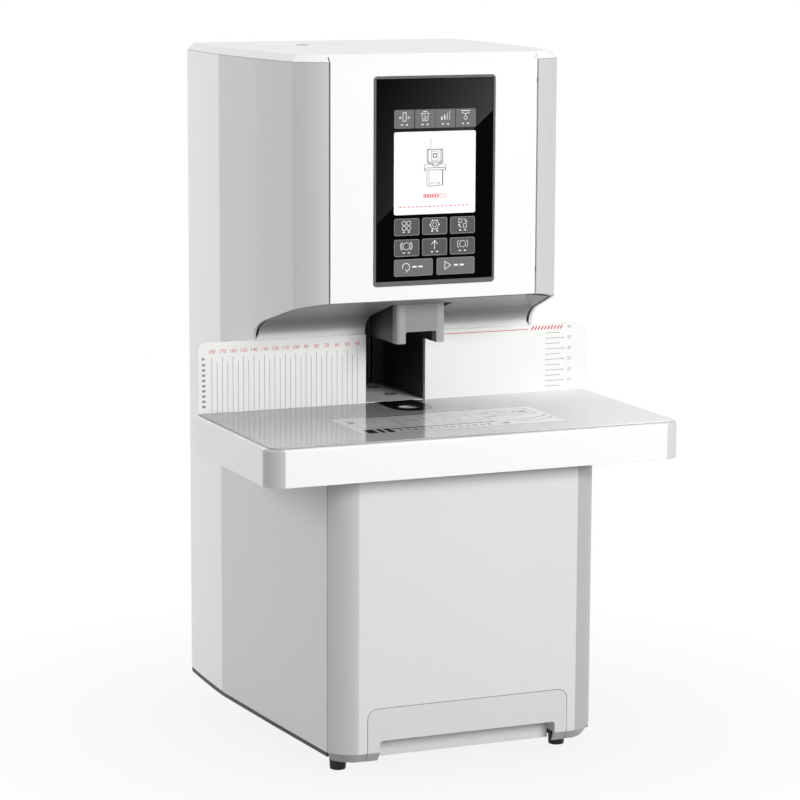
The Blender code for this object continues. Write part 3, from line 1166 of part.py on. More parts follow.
def make_rivet_tools():
    """Upper riveting tools on the turret: hollow quill with its heater, and the die."""
    x, y, _ = turret_point(1)
    heater_low = TIP_Z + DIE_LENGTH
    ring("upper_rivet_die", (x, y, 0), DIE_RADIUS, DIE_BORE, TIP_Z, heater_low - GAP, "Z", "brass")
    flange_low = TURRET_TOP + GAP - heater_low
    top = TURRET_TOP + QUILL_PROUD - heater_low
    profile = [(QUILL_RADIUS, top), (QUILL_RADIUS, flange_low + FLANGE_THICKNESS),
               (QUILL_FLANGE, flange_low + FLANGE_THICKNESS), (QUILL_FLANGE, flange_low),
               (QUILL_RADIUS, flange_low), (QUILL_RADIUS, HEATER_LENGTH), (HEATER_RADIUS, HEATER_LENGTH),
               (HEATER_RADIUS, 0), (TUBE_BORE, 0), (TUBE_BORE, top)]
    turned("rivet_quill", (x, y, heater_low), profile, "Z", "bright_steel")


def wheel_place():
    """Centre of the wheel that turns the turret's hub."""
    reach = HUB_RADIUS + WHEEL_RADIUS + GAP
    return (PIVOT_X + reach * math.cos(WHEEL_ANGLE), PIVOT_Y + reach * math.sin(WHEEL_ANGLE))


def make_lift():
    """Lift: carriage with a shelf round the turret's hub, two rods, a lead screw and its motor."""
    block_low = (LIFT_X - BLOCK_HALF, LIFT_Y - LIFT_ROD_SPREAD - BLOCK_END, SHELF_BOTTOM - BLOCK_DROP)
    block_high = (LIFT_X + BLOCK_HALF, LIFT_Y + LIFT_ROD_SPREAD + BLOCK_END, SHELF_TOP + BLOCK_RISE)
    carriage = box("lift_carriage", block_low, block_high, "aluminium")
    loop = arc(PIVOT_X, PIVOT_Y, SHELF_RING, 60, 300, 3 * ARC_STEPS)
    loop += [(LIFT_X, PIVOT_Y - SHELF_RING), (LIFT_X, PIVOT_Y + SHELF_RING)]
    hole = circle(PIVOT_X, PIVOT_Y, HUB_RADIUS + RUN)
    shelf = outline("lift_shelf", [loop, hole], SHELF_BOTTOM, SHELF_TOP)
    join(carriage, shelf)
    bores = ((LIFT_Y - LIFT_ROD_SPREAD, LIFT_ROD), (LIFT_Y + LIFT_ROD_SPREAD, LIFT_ROD), (LIFT_Y, LIFT_SCREW))
    for index, (y, radius) in enumerate(bores):
        cut(carriage, rod("lift_bore_" + str(index), (LIFT_X, y, 0), radius + GAP, block_low[2] - OVERRUN,
                          block_high[2] + OVERRUN))
    top = COLUMN_TOP - CAP_THICKNESS - GAP
    for word, side in (("front", -1), ("rear", 1)):
        rod("lift_rod_" + word, (LIFT_X, LIFT_Y + side * LIFT_ROD_SPREAD, 0), LIFT_ROD,
            BRACKET_TOP + GAP, top, "Z", "bright_steel", None, SMALL_SIDES)
    rod("lift_motor", (LIFT_X, LIFT_Y, 0), LIFT_MOTOR, BRACKET_BOTTOM - GAP - LIFT_MOTOR_LENGTH,
        BRACKET_BOTTOM - GAP, "Z", "motor_case")
    screw = rod("lift_screw", (LIFT_X, LIFT_Y, 0), LIFT_SCREW, BRACKET_BOTTOM, top, "Z", "bright_steel", None,
                SMALL_SIDES)
    pivot("lift_screw_axis", (LIFT_X, LIFT_Y, top), [screw])


def make_turret_drive():
    """Flat motor on the lift's shelf with the wheel that turns the turret's hub."""
    x, y = wheel_place()
    hub_top = TURRET_TOP + HUB_HEIGHT
    motor_low = SHELF_TOP + GAP
    motor_high = hub_top - WHEEL_WIDTH - GAP
    ring("turret_motor", (x, y, 0), TURRET_MOTOR, SHAFT_RADIUS + RUN, motor_low, motor_high, "Z",
         "motor_case")
    top = hub_top - motor_low
    rim = motor_high - motor_low + GAP
    profile = [(WHEEL_RADIUS, top), (WHEEL_RADIUS, rim), (SHAFT_RADIUS, rim), (SHAFT_RADIUS, GAP),
               (0, GAP), (0, top)]
    wheel = turned("turret_drive_wheel", (x, y, motor_low), profile, "Z", "aluminium")
    pivot("turret_wheel_axis", (x, y, motor_low), [wheel])


def make_feeder():
    """Tube feeder over the loading place: frame, two pinch rollers, cutter, solenoid and guide."""
    front, back = TUBE_Y - FEEDER_FRONT, TUBE_Y + FEEDER_BACK
    left, right = TUBE_X - FEEDER_HALF, TUBE_X + FEEDER_HALF
    frame = box("feeder_frame", (left, front, FEEDER_BOTTOM), (right, COLUMN_Y - GAP, FEEDER_TOP),
                "aluminium")
    window = box("feeder_window", (left - OVERRUN, front + FEEDER_PLATE, FEEDER_BOTTOM + FEEDER_WALL),
                 (right + OVERRUN, back - FEEDER_PLATE, FEEDER_TOP - FEEDER_WALL))
    path = rod("feeder_path", (TUBE_X, TUBE_Y, 0), TUBE_BORE, FEEDER_BOTTOM - OVERRUN, FEEDER_TOP + OVERRUN)
    cut(frame, window, path)
    level = (FEEDER_BOTTOM + FEEDER_TOP) / 2
    for word, side in (("drive", -1), ("idler", 1)):
        x = TUBE_X + side * ROLLER_X
        cut(frame, rod("feeder_bore_" + word, (x, 0, level), ROLLER_SHAFT + RUN, front - OVERRUN,
                       back + OVERRUN, "Y"))
        length = back - front
        shaft_low, shaft_high = GAP, length - GAP
        roll_low, roll_high = FEEDER_PLATE + RUN, length - FEEDER_PLATE - RUN
        profile = [(ROLLER_SHAFT, shaft_high), (ROLLER_SHAFT, roll_high), (ROLLER_RADIUS, roll_high),
                   (ROLLER_RADIUS, roll_low), (ROLLER_SHAFT, roll_low), (ROLLER_SHAFT, shaft_low),
                   (0, shaft_low), (0, shaft_high)]
        roller = turned("feed_roller_" + word, (x, front, level), profile, "Y", "rubber", SMALL_SIDES)
        pivot("feed_roller_axis_" + word, (x, front, level), [roller])
    blade_top = FEEDER_BOTTOM - GAP
    blade_low = (left - SOLENOID_LENGTH / 2, TUBE_Y - CUTTER_HALF, blade_top - CUTTER_THICKNESS)
    blade_high = (TUBE_X - CUTTER_SHY, TUBE_Y + CUTTER_HALF, blade_top)
    blade = box("cutter_blade", blade_low, blade_high, "bright_steel")
    pivot("cutter_slide", (TUBE_X - CUTTER_SHY, TUBE_Y, FEEDER_BOTTOM), [blade])
    box("cutter_solenoid", (left - GAP - SOLENOID_LENGTH, TUBE_Y - SOLENOID_HALF, FEEDER_BOTTOM),
        (left - GAP, TUBE_Y + SOLENOID_HALF, FEEDER_BOTTOM + SOLENOID_HEIGHT), "motor_case")
    low = FEEDER_TOP + GAP
    profile = [(INLET_RADIUS, MACHINE_HEIGHT - low), (INLET_RADIUS, SIDE_TOP - low),
               (GUIDE_RADIUS, SIDE_TOP - low), (GUIDE_RADIUS, 0), (TUBE_BORE, 0),
               (TUBE_BORE, MACHINE_HEIGHT - low)]
    turned("tube_inlet_guide", (TUBE_X, TUBE_Y, low), profile, "Z", "black_plastic")


def make_shuttle():
    """Lower shuttle under the hole: slide with cutting pad and lower die, and its actuator."""
    slide_top = BED_TOP + GAP + SHUTTLE_THICKNESS
    slide_right = SHUTTLE_TRAVEL + SHUTTLE_HALF
    slide = box("lower_shuttle", (-SHUTTLE_HALF, HOLE_Y - SHUTTLE_HALF, BED_TOP + GAP),
                (slide_right, HOLE_Y + SHUTTLE_HALF, slide_top), "aluminium")
    level = BED_TOP + GAP + SHUTTLE_THICKNESS / 2
    start = slide_right + ACTUATOR_START
    reach = rod("shuttle_push_rod", (0, HOLE_Y, level), SHUTTLE_ROD, slide_right - SHUTTLE_ROD,
                start + ACTUATOR_LENGTH - BED_END, "X", None, None, SMALL_SIDES)
    join(slide, reach)
    cap = TABLE_TOP - SHEET - 2 * GAP
    pad = rod("cutting_pad", (0, HOLE_Y, 0), CUTTING_PAD, slide_top + GAP, cap, "Z", "nylon")
    height = cap - slide_top - GAP
    profile = [(LOWER_DIE, height), (LOWER_DIE, 0), (0, 0), (0, height - DIE_CUP_DEPTH), (DIE_CUP, height)]
    die = turned("lower_rivet_die", (SHUTTLE_TRAVEL, HOLE_Y, slide_top + GAP), profile, "Z", "brass")
    end = (start + ACTUATOR_LENGTH, HOLE_Y + ACTUATOR_HALF, BED_TOP + GAP + ACTUATOR_HEIGHT)
    actuator = box("shuttle_actuator", (start, HOLE_Y - ACTUATOR_HALF, BED_TOP + GAP), end, "motor_case")
    bore = rod("actuator_bore", (0, HOLE_Y, level), SHUTTLE_ROD + RUN, start - OVERRUN,
               start + ACTUATOR_LENGTH - BED_END + GAP, "X")
    cut(actuator, bore)
    pivot("shuttle_slide", (0, HOLE_Y, BED_TOP), [slide, pad, die])


def make_power():
    """Power supply on the column, mains inlet and rocker switch in the rear cover."""
    back = COLUMN_Y + COLUMN_THICKNESS
    box("power_supply", (SUPPLY_X - SUPPLY_WIDTH / 2, back + GAP, SUPPLY_LIFT),
        (SUPPLY_X + SUPPLY_WIDTH / 2, back + GAP + SUPPLY_DEPTH, SUPPLY_LIFT + SUPPLY_HEIGHT), "aluminium")
    inlet = box("power_inlet", (INLET_X - INLET_WIDTH / 2, REAR_Y - INLET_DEPTH, INLET_Z - INLET_HEIGHT / 2),
                (INLET_X + INLET_WIDTH / 2, REAR_Y - GAP, INLET_Z + INLET_HEIGHT / 2), "black_plastic")
    wide, tall = INLET_POCKET_WIDTH / 2, INLET_POCKET_HEIGHT / 2
    pocket = box("inlet_pocket", (INLET_X - wide, REAR_Y - INLET_POCKET_DEPTH, INLET_Z - tall),
                 (INLET_X + wide, REAR_Y + OVERRUN, INLET_Z + tall))
    cut(inlet, pocket)
    wide, tall = ROCKER_WIDTH / 2, ROCKER_HEIGHT / 2
    rocker = box("power_rocker", (ROCKER_X - wide, REAR_Y - ROCKER_DEPTH - GAP, INLET_Z - tall),
                 (ROCKER_X + wide, REAR_Y - GAP, INLET_Z + tall), "black_plastic")
    pivot("rocker_axis", (ROCKER_X, REAR_Y - ROCKER_DEPTH, INLET_Z), [rocker])


def make_chute():
    """Chip chute from the loading place down to the drawer."""
    top = TABLE_TOP - CHUTE_TOP_DROP
    back = COLUMN_Y - GAP
    front = back - CHUTE_FRONT * 2
    left, right = TUBE_X - CHUTE_HALF, TUBE_X + CHUTE_HALF
    rows = ((top, 0), (top - CHUTE_FLANGE, 0), (CHUTE_BOTTOM, CHUTE_SHIFT))
    points = []
    for z, shift in rows:
        points += [(left, front - shift, z), (right, front - shift, z)]
        points += [(right, back - shift, z), (left, back - shift, z)]
    faces = [(r + i, r + 4 + i, r + 4 + (i + 1) % 4, r + (i + 1) % 4) for r in (0, 4) for i in range(4)]
    mesh = bpy.data.meshes.new("chip_chute")
    mesh.from_pydata(points, [], faces)
    piece = place("chip_chute", mesh, "black_steel")
    shell = piece.modifiers.new("wall", "SOLIDIFY")
    shell.thickness = CHUTE_WALL
    shell.offset = -1
    return piece


def smooth_round_pieces():
    """Shade round pieces smooth, with sharp edges kept."""
    for piece in PARTS.objects:
        if piece.type == "MESH":
            piece.data.shade_smooth()
            piece.data.set_sharp_from_angle(angle=math.radians(30))


def build():
    """Make every piece of the machine."""
    make_side_panels()
    make_rear_cover()
    make_top_cover()
    make_throat_liner()
    make_base_front()
    make_base_plate()
    make_feet()
    make_drawer()
    make_table()
    make_table_sheet()
    make_pad()
    make_backstop("left_backstop_plate", -1)
    make_backstop("right_backstop_plate", 1)
    make_recess_liner()
    make_floor_plate()
    door = make_door()
    make_hinge_pin()
    pivot("door_hinge", (HINGE_X, HINGE_Y, HEAD_BOTTOM), [door] + make_display())
    make_frame()
    pivot("presser_slide", (0, PRESSER_ROD_Y, PRESSER_BOTTOM), [make_presser_foot(), make_presser_fork()])
    make_presser_drive()
    make_turret()
    make_drill()
    make_rivet_tools()
    make_lift()
    make_turret_drive()
    make_feeder()
    make_shuttle()
    make_power()
    make_chute()
    smooth_round_pieces()


build()
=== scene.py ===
import math

import bpy
import numpy as np
from mathutils import Matrix, Vector


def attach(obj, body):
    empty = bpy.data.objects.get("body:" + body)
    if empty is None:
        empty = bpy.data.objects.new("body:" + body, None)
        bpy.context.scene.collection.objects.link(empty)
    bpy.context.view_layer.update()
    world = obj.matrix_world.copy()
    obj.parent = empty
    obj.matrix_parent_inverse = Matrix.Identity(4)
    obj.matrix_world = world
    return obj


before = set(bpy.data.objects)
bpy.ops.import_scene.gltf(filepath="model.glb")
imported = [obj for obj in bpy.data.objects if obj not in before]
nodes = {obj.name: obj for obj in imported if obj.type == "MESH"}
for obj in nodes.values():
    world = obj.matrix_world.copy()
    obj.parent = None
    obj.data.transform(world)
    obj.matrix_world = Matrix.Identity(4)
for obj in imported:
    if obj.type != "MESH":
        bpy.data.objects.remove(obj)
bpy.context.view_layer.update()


# The camera stands where the photograph was taken: to the machine's left and a little above the table,
# with a long lens. Its place was solved from the machine's straight edges.
yaw, pitch, roll = math.radians(23.02), math.radians(9.429), math.radians(0.232)
look = np.array([math.sin(yaw) * math.cos(pitch), math.cos(yaw) * math.cos(pitch), -math.sin(pitch)])
level = np.array([math.cos(yaw), -math.sin(yaw), 0])
above = np.cross(level, look)
camera = bpy.data.objects.new("camera", bpy.data.cameras.new("camera"))
bpy.context.scene.collection.objects.link(camera)
camera.data.lens = 133.66
camera.data.sensor_width = 36
camera.data.clip_end = 60  # beyond the far corner of the studio's paper
placed = Matrix.Identity(4)
placed.col[0][:3] = level * math.cos(roll) + above * math.sin(roll)
placed.col[1][:3] = above * math.cos(roll) - level * math.sin(roll)
placed.col[2][:3] = -look
placed.col[3][:3] = (-1.0448, -2.4663, 0.7478)
camera.matrix_world = placed
bpy.context.scene.camera = camera


# The studio is a wide sheet of pale paper under soft lamps. To the camera, and in gloss and glass, it
# shows as plain white, and near the machine it keeps a faint shadow. The lamps stand in front to the
# right, behind on both sides, and overhead, and gloss mirrors the white studio in their place.
def linear(code):
    """One sRGB hex colour as linear RGBA: each channel through the sRGB curve, alpha 1."""
    channels = np.array([int(code[i:i + 2], 16) for i in (1, 3, 5)]) / 255
    bent = np.where(channels <= 0.04045, channels / 12.92, ((channels + 0.055) / 1.055) ** 2.4)
    return (*bent.tolist(), 1)


def add(tree, kind, links=None, **settings):
    """Adds one node. settings are its own properties, or values of its sockets by name or number, with
    spaces as underscores. links are its sockets, each with the (node, output) that feeds it."""
    node = tree.nodes.new(kind)
    for name, value in settings.items():
        label = name.replace("_", " ").strip()
        if hasattr(node, name):
            setattr(node, name, value)
        elif label.isdigit():
            node.inputs[int(label)].default_value = value
        else:
            node.inputs[label].default_value = value
    for socket, (source, output) in (links or {}).items():
        tree.links.new(source.outputs[output], node.inputs[socket])
    return node


def surface(name, points, faces, material):
    """A mesh object from points in metres and their faces, with one material."""
    mesh = bpy.data.meshes.new(name)
    mesh.from_pydata(np.asarray(points, float).tolist(), [], [list(map(int, face)) for face in faces])
    mesh.materials.append(material)
    mesh.update()
    piece = bpy.data.objects.new(name, mesh)
    bpy.context.scene.collection.objects.link(piece)
    return piece


def plain_view(tree):
    """1 for a ray from the camera, from gloss or through glass, and 0 for any other."""
    rays = add(tree, "ShaderNodeLightPath")
    seen = add(tree, "ShaderNodeMath", {0: (rays, "Is Camera Ray"), 1: (rays, "Is Glossy Ray")},
               operation="MAXIMUM")
    return add(tree, "ShaderNodeMath", {0: (seen, 0), 1: (rays, "Is Transmission Ray")}, operation="MAXIMUM")


PAPER_HALF = 25
SHADOW_NEAR, SHADOW_FAR, SHADOW_WHITE = 0.15, 0.5, 0.88
AIR_LEVEL = 0.29
LAMP_AIM = Vector((0, 0, 0.4))

paper = bpy.data.materials.new("studio_paper")
paper.use_nodes = True
tree = paper.node_tree
shader = tree.nodes["Principled BSDF"]
shader.inputs["Base Color"].default_value = linear("#A2A2A4")
shader.inputs["Roughness"].default_value = 0.9
seen = plain_view(tree)
place = add(tree, "ShaderNodeTexCoord")
reach = add(tree, "ShaderNodeVectorMath", {0: (place, "Object")}, operation="LENGTH")
fade = add(tree, "ShaderNodeMapRange", {0: (reach, "Value")}, From_Min=SHADOW_NEAR, From_Max=SHADOW_FAR,
           To_Min=SHADOW_WHITE, To_Max=1)
share = add(tree, "ShaderNodeMath", {0: (seen, 0), 1: (fade, 0)}, operation="MULTIPLY")
white = add(tree, "ShaderNodeEmission", Color=(1, 1, 1, 1), Strength=1)
mixed = add(tree, "ShaderNodeMixShader", {0: (share, 0), 1: (shader, "BSDF"), 2: (white, 0)})
tree.links.new(mixed.outputs[0], tree.nodes["Material Output"].inputs["Surface"])
corners = [(x * PAPER_HALF, y * PAPER_HALF, 0) for x, y in ((-1, -1), (1, -1), (1, 1), (-1, 1))]
floor = surface("floor", corners, [range(4)], paper)

world = bpy.data.worlds.new("studio_air")
world.use_nodes = True
bpy.context.scene.world = world
tree = world.node_tree
seen = plain_view(tree)
air = tree.nodes["Background"]
air.inputs["Color"].default_value = (1, 1, 1, 1)
strength = add(tree, "ShaderNodeMapRange", {0: (seen, 0)}, To_Min=AIR_LEVEL, To_Max=1)
tree.links.new(strength.outputs[0], air.inputs["Strength"])

for name, spot, size, power in (
    ("front_light", (0.7, -2.35, 1.3), 1.1, 54.5),
    ("side_light", (-2.6, 1.3, 1.4), 1.4, 44),
    ("back_light", (1.1, 2.6, 0.7), 1.4, 24),
    ("top_light", (0.1, 0.3, 2.9), 1.6, 9),
):
    lamp = bpy.data.lights.new(name, "AREA")
    lamp.shape = "SQUARE"
    lamp.size = size
    lamp.energy = power
    holder = bpy.data.objects.new(name, lamp)
    bpy.context.scene.collection.objects.link(holder)
    holder.location = spot
    holder.rotation_euler = (LAMP_AIM - Vector(spot)).to_track_quat("-Z", "Y").to_euler()
    holder.visible_glossy = False
bpy.context.scene.view_settings.view_transform = "Standard"


# The housing is injection moulded in ABS: white for the rear and top covers and the door, light grey for
# the side panels. Spark-eroded moulds leave an even satin grain, drawn a millimetre wide here, coarser
# than the real one, so that it shows. Every outer edge has a small radius.
def finish(name, light, dark, patch, rough, relief, grit, **constants):
    """A material of one finish. Colour and roughness drift between their two values over patches of
    that many metres, and grains of grit metres lift the skin by relief metres. constants are values
    for the shader's own sockets."""
    material = bpy.data.materials.new(name)
    material.use_nodes = True
    tree = material.node_tree
    shader = tree.nodes["Principled BSDF"]
    for socket, value in constants.items():
        shader.inputs[socket.replace("_", " ")].default_value = value
    place = add(tree, "ShaderNodeTexCoord")
    drift = add(tree, "ShaderNodeTexNoise", {"Vector": (place, "Object")}, Scale=1 / patch, Detail=3)
    colour = add(tree, "ShaderNodeMix", {0: (drift, 0)}, data_type="RGBA", _6=linear(dark), _7=linear(light))
    sheen = add(tree, "ShaderNodeMapRange", {0: (drift, 0)}, From_Min=0.3, From_Max=0.7,
                To_Min=rough[0], To_Max=rough[1])
    grain = add(tree, "ShaderNodeTexNoise", {"Vector": (place, "Object")}, Scale=1 / grit, Detail=1)
    skin = add(tree, "ShaderNodeBump", {"Height": (grain, 0)}, Strength=1, Distance=relief)
    tree.links.new(colour.outputs[2], shader.inputs["Base Color"])
    tree.links.new(sheen.outputs[0], shader.inputs["Roughness"])
    tree.links.new(skin.outputs[0], shader.inputs["Normal"])
    return material


def dress(material, radius, *names):
    """Gives CAD nodes a material, and breaks their edges by that radius: the loose triangles are
    joined, flat ones merged, and edges of over 25 degrees rounded."""
    for name in names:
        node = nodes[name]
        node.data.materials.clear()
        node.data.materials.append(material)
        node.data.shade_smooth()
        node.modifiers.new("join", "WELD").merge_threshold = 0.00001
        flat = node.modifiers.new("flat", "DECIMATE")
        flat.decimate_type = "DISSOLVE"
        flat.angle_limit = math.radians(0.5)
        edge = node.modifiers.new("edge", "BEVEL")
        edge.width = radius
        edge.segments = 2
        edge.limit_method = "ANGLE"
        edge.angle_limit = math.radians(25)
        node.modifiers.new("even", "WEIGHTED_NORMAL").keep_sharp = False


ABS_SKIN = (0.11, (0.3, 0.38), 0.00002, 0.0012)
ABS_IOR = 1.53
MOULDED_EDGE = 0.0006
white_abs = finish("moulded_white_abs", "#F5F5F6", "#F1F1F2", *ABS_SKIN, IOR=ABS_IOR)
dress(white_abs, MOULDED_EDGE, "rear_cover", "top_cover", "front_door")


def tone(material, code, direction, start, above=0):
    """A second colour past a plane: where the dot product of the point and direction is over start
    metres, and the point stands higher than above."""
    tree = material.node_tree
    shader = tree.nodes["Principled BSDF"]
    first = shader.inputs["Base Color"].links[0].from_node
    place = add(tree, "ShaderNodeTexCoord")
    reach = add(tree, "ShaderNodeVectorMath", {0: (place, "Object")}, operation="DOT_PRODUCT", _1=direction)
    past = add(tree, "ShaderNodeMath", {0: (reach, "Value")}, operation="GREATER_THAN", _1=start)
    parts = add(tree, "ShaderNodeSeparateXYZ", {0: (place, "Object")})
    high = add(tree, "ShaderNodeMath", {0: (parts, "Z")}, operation="GREATER_THAN", _1=above)
    share = add(tree, "ShaderNodeMath", {0: (past, 0), 1: (high, 0)}, operation="MULTIPLY")
    both = add(tree, "ShaderNodeMix", {0: (share, 0), 6: (first, 2)}, data_type="RGBA", _7=linear(code))
    tree.links.new(both.outputs[2], shader.inputs["Base Color"])


grey_abs = finish("moulded_light_grey_abs", "#DBDBDD", "#D6D6D8", *ABS_SKIN, IOR=ABS_IOR)
# The side panels' front corner strips on the head, in front of the crease, are painted a darker grey as
# painted shade.
HEAD_FRONT, HEAD_FOOT = 0.0649, 0.38
tone(grey_abs, "#C9C9CB", (0, -1, 0), HEAD_FRONT, HEAD_FOOT)
dress(grey_abs, MOULDED_EDGE, "left_side_panel", "right_side_panel")


# The table's tray is a deep moulding in the same white ABS, and the sheet lies in it. Its two round front
# corners are painted grey as painted shade, the left one darker.
tray_abs = finish("moulded_tray_abs", "#F5F5F6", "#F1F1F2", *ABS_SKIN, IOR=ABS_IOR)
CORNER_REACH = 0.3668
# Painted shade on the two round front corners.
tone(tray_abs, "#BEBEC0", (-1, -1, 0), CORNER_REACH)
tone(tray_abs, "#D2D2D4", (1, -1, 0), CORNER_REACH)
dress(tray_abs, MOULDED_EDGE, "worktable_body")


# The base front and the scrap drawer are moulded white ABS, painted greyer than the head as painted
# shade under the table. Their round corners and the lip that slopes in over the feet are painted darker, as
# painted shade.
base_abs = finish("white_abs_with_painted_shade", "#DEDEE0", "#DADADC", *ABS_SKIN, IOR=ABS_IOR)
# Painted shade on the round corners, darker on the right one.
BASE_FLAT_HALF = 0.104
tone(base_abs, "#B4B4B6", (1, 0, 0), BASE_FLAT_HALF)
tone(base_abs, "#C6C6C8", (-1, 0, 0), BASE_FLAT_HALF)
# Painted shade on the lip below this height.
LIP_TOP = 0.0232
tone(base_abs, "#AEAEB0", (0, 0, -1), -LIP_TOP)
dress(base_abs, MOULDED_EDGE, "base_front_cover")
# The drawer is painted a greyer white, and darker on its lip, as painted shade.
drawer_abs = finish("moulded_drawer_abs", "#D8D8DA", "#D4D4D6", *ABS_SKIN, IOR=ABS_IOR)
DRAWER_LIP = 0.1295
tone(drawer_abs, "#AEAEB0", (0, -1, -1.5), DRAWER_LIP)
dress(drawer_abs, MOULDED_EDGE, "scrap_drawer")


# The throat liner is white ABS, painted with light and shade: pale at the table, dark in its hollow and
# mid grey under the head. A strip of painted shade runs back along its right end.
liner_abs = finish("throat_abs_with_painted_shade", "#C2C2C4", "#BCBCBE", *ABS_SKIN, IOR=ABS_IOR)
tree = liner_abs.node_tree
place = add(tree, "ShaderNodeTexCoord")
parts = add(tree, "ShaderNodeSeparateXYZ", {0: (place, "Object")})
HOLLOW_LOW, HOLLOW_HIGH = 0.364, 0.406
rise = add(tree, "ShaderNodeMapRange", {0: (parts, "Z")}, From_Min=HOLLOW_LOW, From_Max=HOLLOW_HIGH)
shade = add(tree, "ShaderNodeValToRGB", {0: (rise, 0)})
bands = shade.color_ramp.elements
bands[0].color, bands[1].color = linear("#F2F2F4"), linear("#98989A")
for step, code in ((0.1, "#E4E4E6"), (0.2, "#AEAEB0"), (0.32, "#909092"), (0.38, "#818183"), (0.5, "#838385"),
                   (0.64, "#858587"), (0.76, "#8A8A8C")):
    bands.new(step).color = linear(code)
patch = tree.nodes["Principled BSDF"].inputs["Base Color"].links[0].from_node
patch.inputs[6].default_value = (0.96, 0.96, 0.96, 1)
patch.inputs[7].default_value = (1, 1, 1, 1)
both = add(tree, "ShaderNodeMix", {6: (shade, 0), 7: (patch, 2)}, data_type="RGBA", blend_type="MULTIPLY",
           _0=1)
tree.links.new(both.outputs[2], tree.nodes["Principled BSDF"].inputs["Base Color"])
# The dark strip along the right end is painted shade.
DARK_STRIP = 0.134
tone(liner_abs, "#4E4E50", (1, -0.54, 0), DARK_STRIP)
dress(liner_abs, MOULDED_EDGE, "throat_liner")


# The display bezel is a grey anodised aluminium frame let into the door, with a fine blasted grain.
# The grain is half a millimetre wide here, which is coarser than the real one, so that it shows.
anodised = finish("grey_anodised_aluminium", "#6E6F71", "#636466", 0.02, (0.32, 0.42), 0.00001, 0.0005,
                  Metallic=0.6)
dress(anodised, 0.0004, "display_bezel")


# The display is one sheet of black cover glass with an anti-reflection coat, over a touch panel. Its
# back is printed black, and a grey field that fades in towards a slanting edge is a painted reflection.
glass = bpy.data.materials.new("coated_black_cover_glass")
glass.use_nodes = True
tree = glass.node_tree
shader = tree.nodes["Principled BSDF"]
shader.inputs["IOR"].default_value = 1.5
shader.inputs["Specular IOR Level"].default_value = 0.03
place = add(tree, "ShaderNodeTexCoord")
REFLECTION_EDGE, REFLECTION_END = 0.523, 0.645
GLASS_HALF = 0.055
# Painted reflection: a grey field past a slanting edge, strongest at that edge and towards the right.
slant = add(tree, "ShaderNodeVectorMath", {0: (place, "Object")}, operation="DOT_PRODUCT", _1=(-0.874, 0, 1))
past = add(tree, "ShaderNodeMath", {0: (slant, "Value")}, operation="GREATER_THAN", _1=REFLECTION_EDGE)
near = add(tree, "ShaderNodeMapRange", {0: (slant, "Value")}, From_Min=REFLECTION_EDGE, From_Max=REFLECTION_END,
           To_Min=1, To_Max=0.12)
parts = add(tree, "ShaderNodeSeparateXYZ", {0: (place, "Object")})
across = add(tree, "ShaderNodeMapRange", {0: (parts, "X")}, From_Min=-GLASS_HALF, From_Max=GLASS_HALF,
             To_Min=0.25, To_Max=1)
painted_reflection = add(tree, "ShaderNodeMath", {0: (near, 0), 1: (across, 0)}, operation="MULTIPLY")
painted_reflection = add(tree, "ShaderNodeMath", {0: (painted_reflection, 0), 1: (past, 0)}, operation="MULTIPLY")
colour = add(tree, "ShaderNodeMix", {0: (painted_reflection, 0)}, data_type="RGBA", _6=linear("#010101"),
             _7=linear("#3B3B3C"))
tree.links.new(colour.outputs[2], shader.inputs["Base Color"])
wipe = add(tree, "ShaderNodeTexNoise", {"Vector": (place, "Object")}, Scale=60, Detail=2)
sheen = add(tree, "ShaderNodeMapRange", {0: (wipe, 0)}, From_Min=0.3, From_Max=0.7, To_Min=0.04, To_Max=0.09)
tree.links.new(sheen.outputs[0], shader.inputs["Roughness"])
dress(glass, 0.0003, "display_glass")


# The screen shows a status strip, a white field with a line drawing of the machine, and eight touch
# keys with icons and short plain bars. They are lit through the glass, so each is a thin flat layer on
# its face.
def ribbon(line, width, closed=False):
    """A flat band along a line: each point goes half the width to both sides, along the mean of its two
    neighbours' normals, stretched so that the band keeps its width at corners."""
    line = np.asarray(line, float)
    steps = np.diff(np.vstack([line, line[:1]]) if closed else line, axis=0)
    steps = steps / np.linalg.norm(steps, axis=1, keepdims=True)
    normals = np.column_stack([-steps[:, 1], steps[:, 0]])
    before = np.vstack([normals[-1:] if closed else normals[:1], normals])[:len(line)]
    after = (normals if closed else np.vstack([normals, normals[-1:]]))[:len(line)]
    mitre = before + after
    mitre = mitre / np.maximum((mitre * before).sum(axis=1, keepdims=True), 0.2)
    first = np.arange(len(line) if closed else len(line) - 1)
    second = (first + 1) % len(line)
    faces = np.column_stack([first + len(line), second + len(line), second, first])
    return np.vstack([line + mitre * width / 2, line - mitre * width / 2]), faces


def tablet(low, high, corner):
    """A filled rectangle: four quarter circles of one radius, joined by straight sides."""
    (x0, y0), (x1, y1) = np.add(low, corner), np.subtract(high, corner)
    centres = np.repeat([(x1, y1), (x0, y1), (x0, y0), (x1, y0)], 5, axis=0)
    angles = (np.arange(4)[:, None] * np.pi / 2 + np.linspace(0, np.pi / 2, 5)).ravel()
    return centres + corner * np.column_stack([np.cos(angles), np.sin(angles)]), [range(20)]


def bow(centre, radius, start=0, end=348):
    """Points every 12 degrees or less on a circle's arc from one angle to another."""
    angles = np.radians(np.linspace(start, end, max(4, int(abs(end - start) / 12) + 1)))
    return np.asarray(centre) + radius * np.column_stack([np.cos(angles), np.sin(angles)])


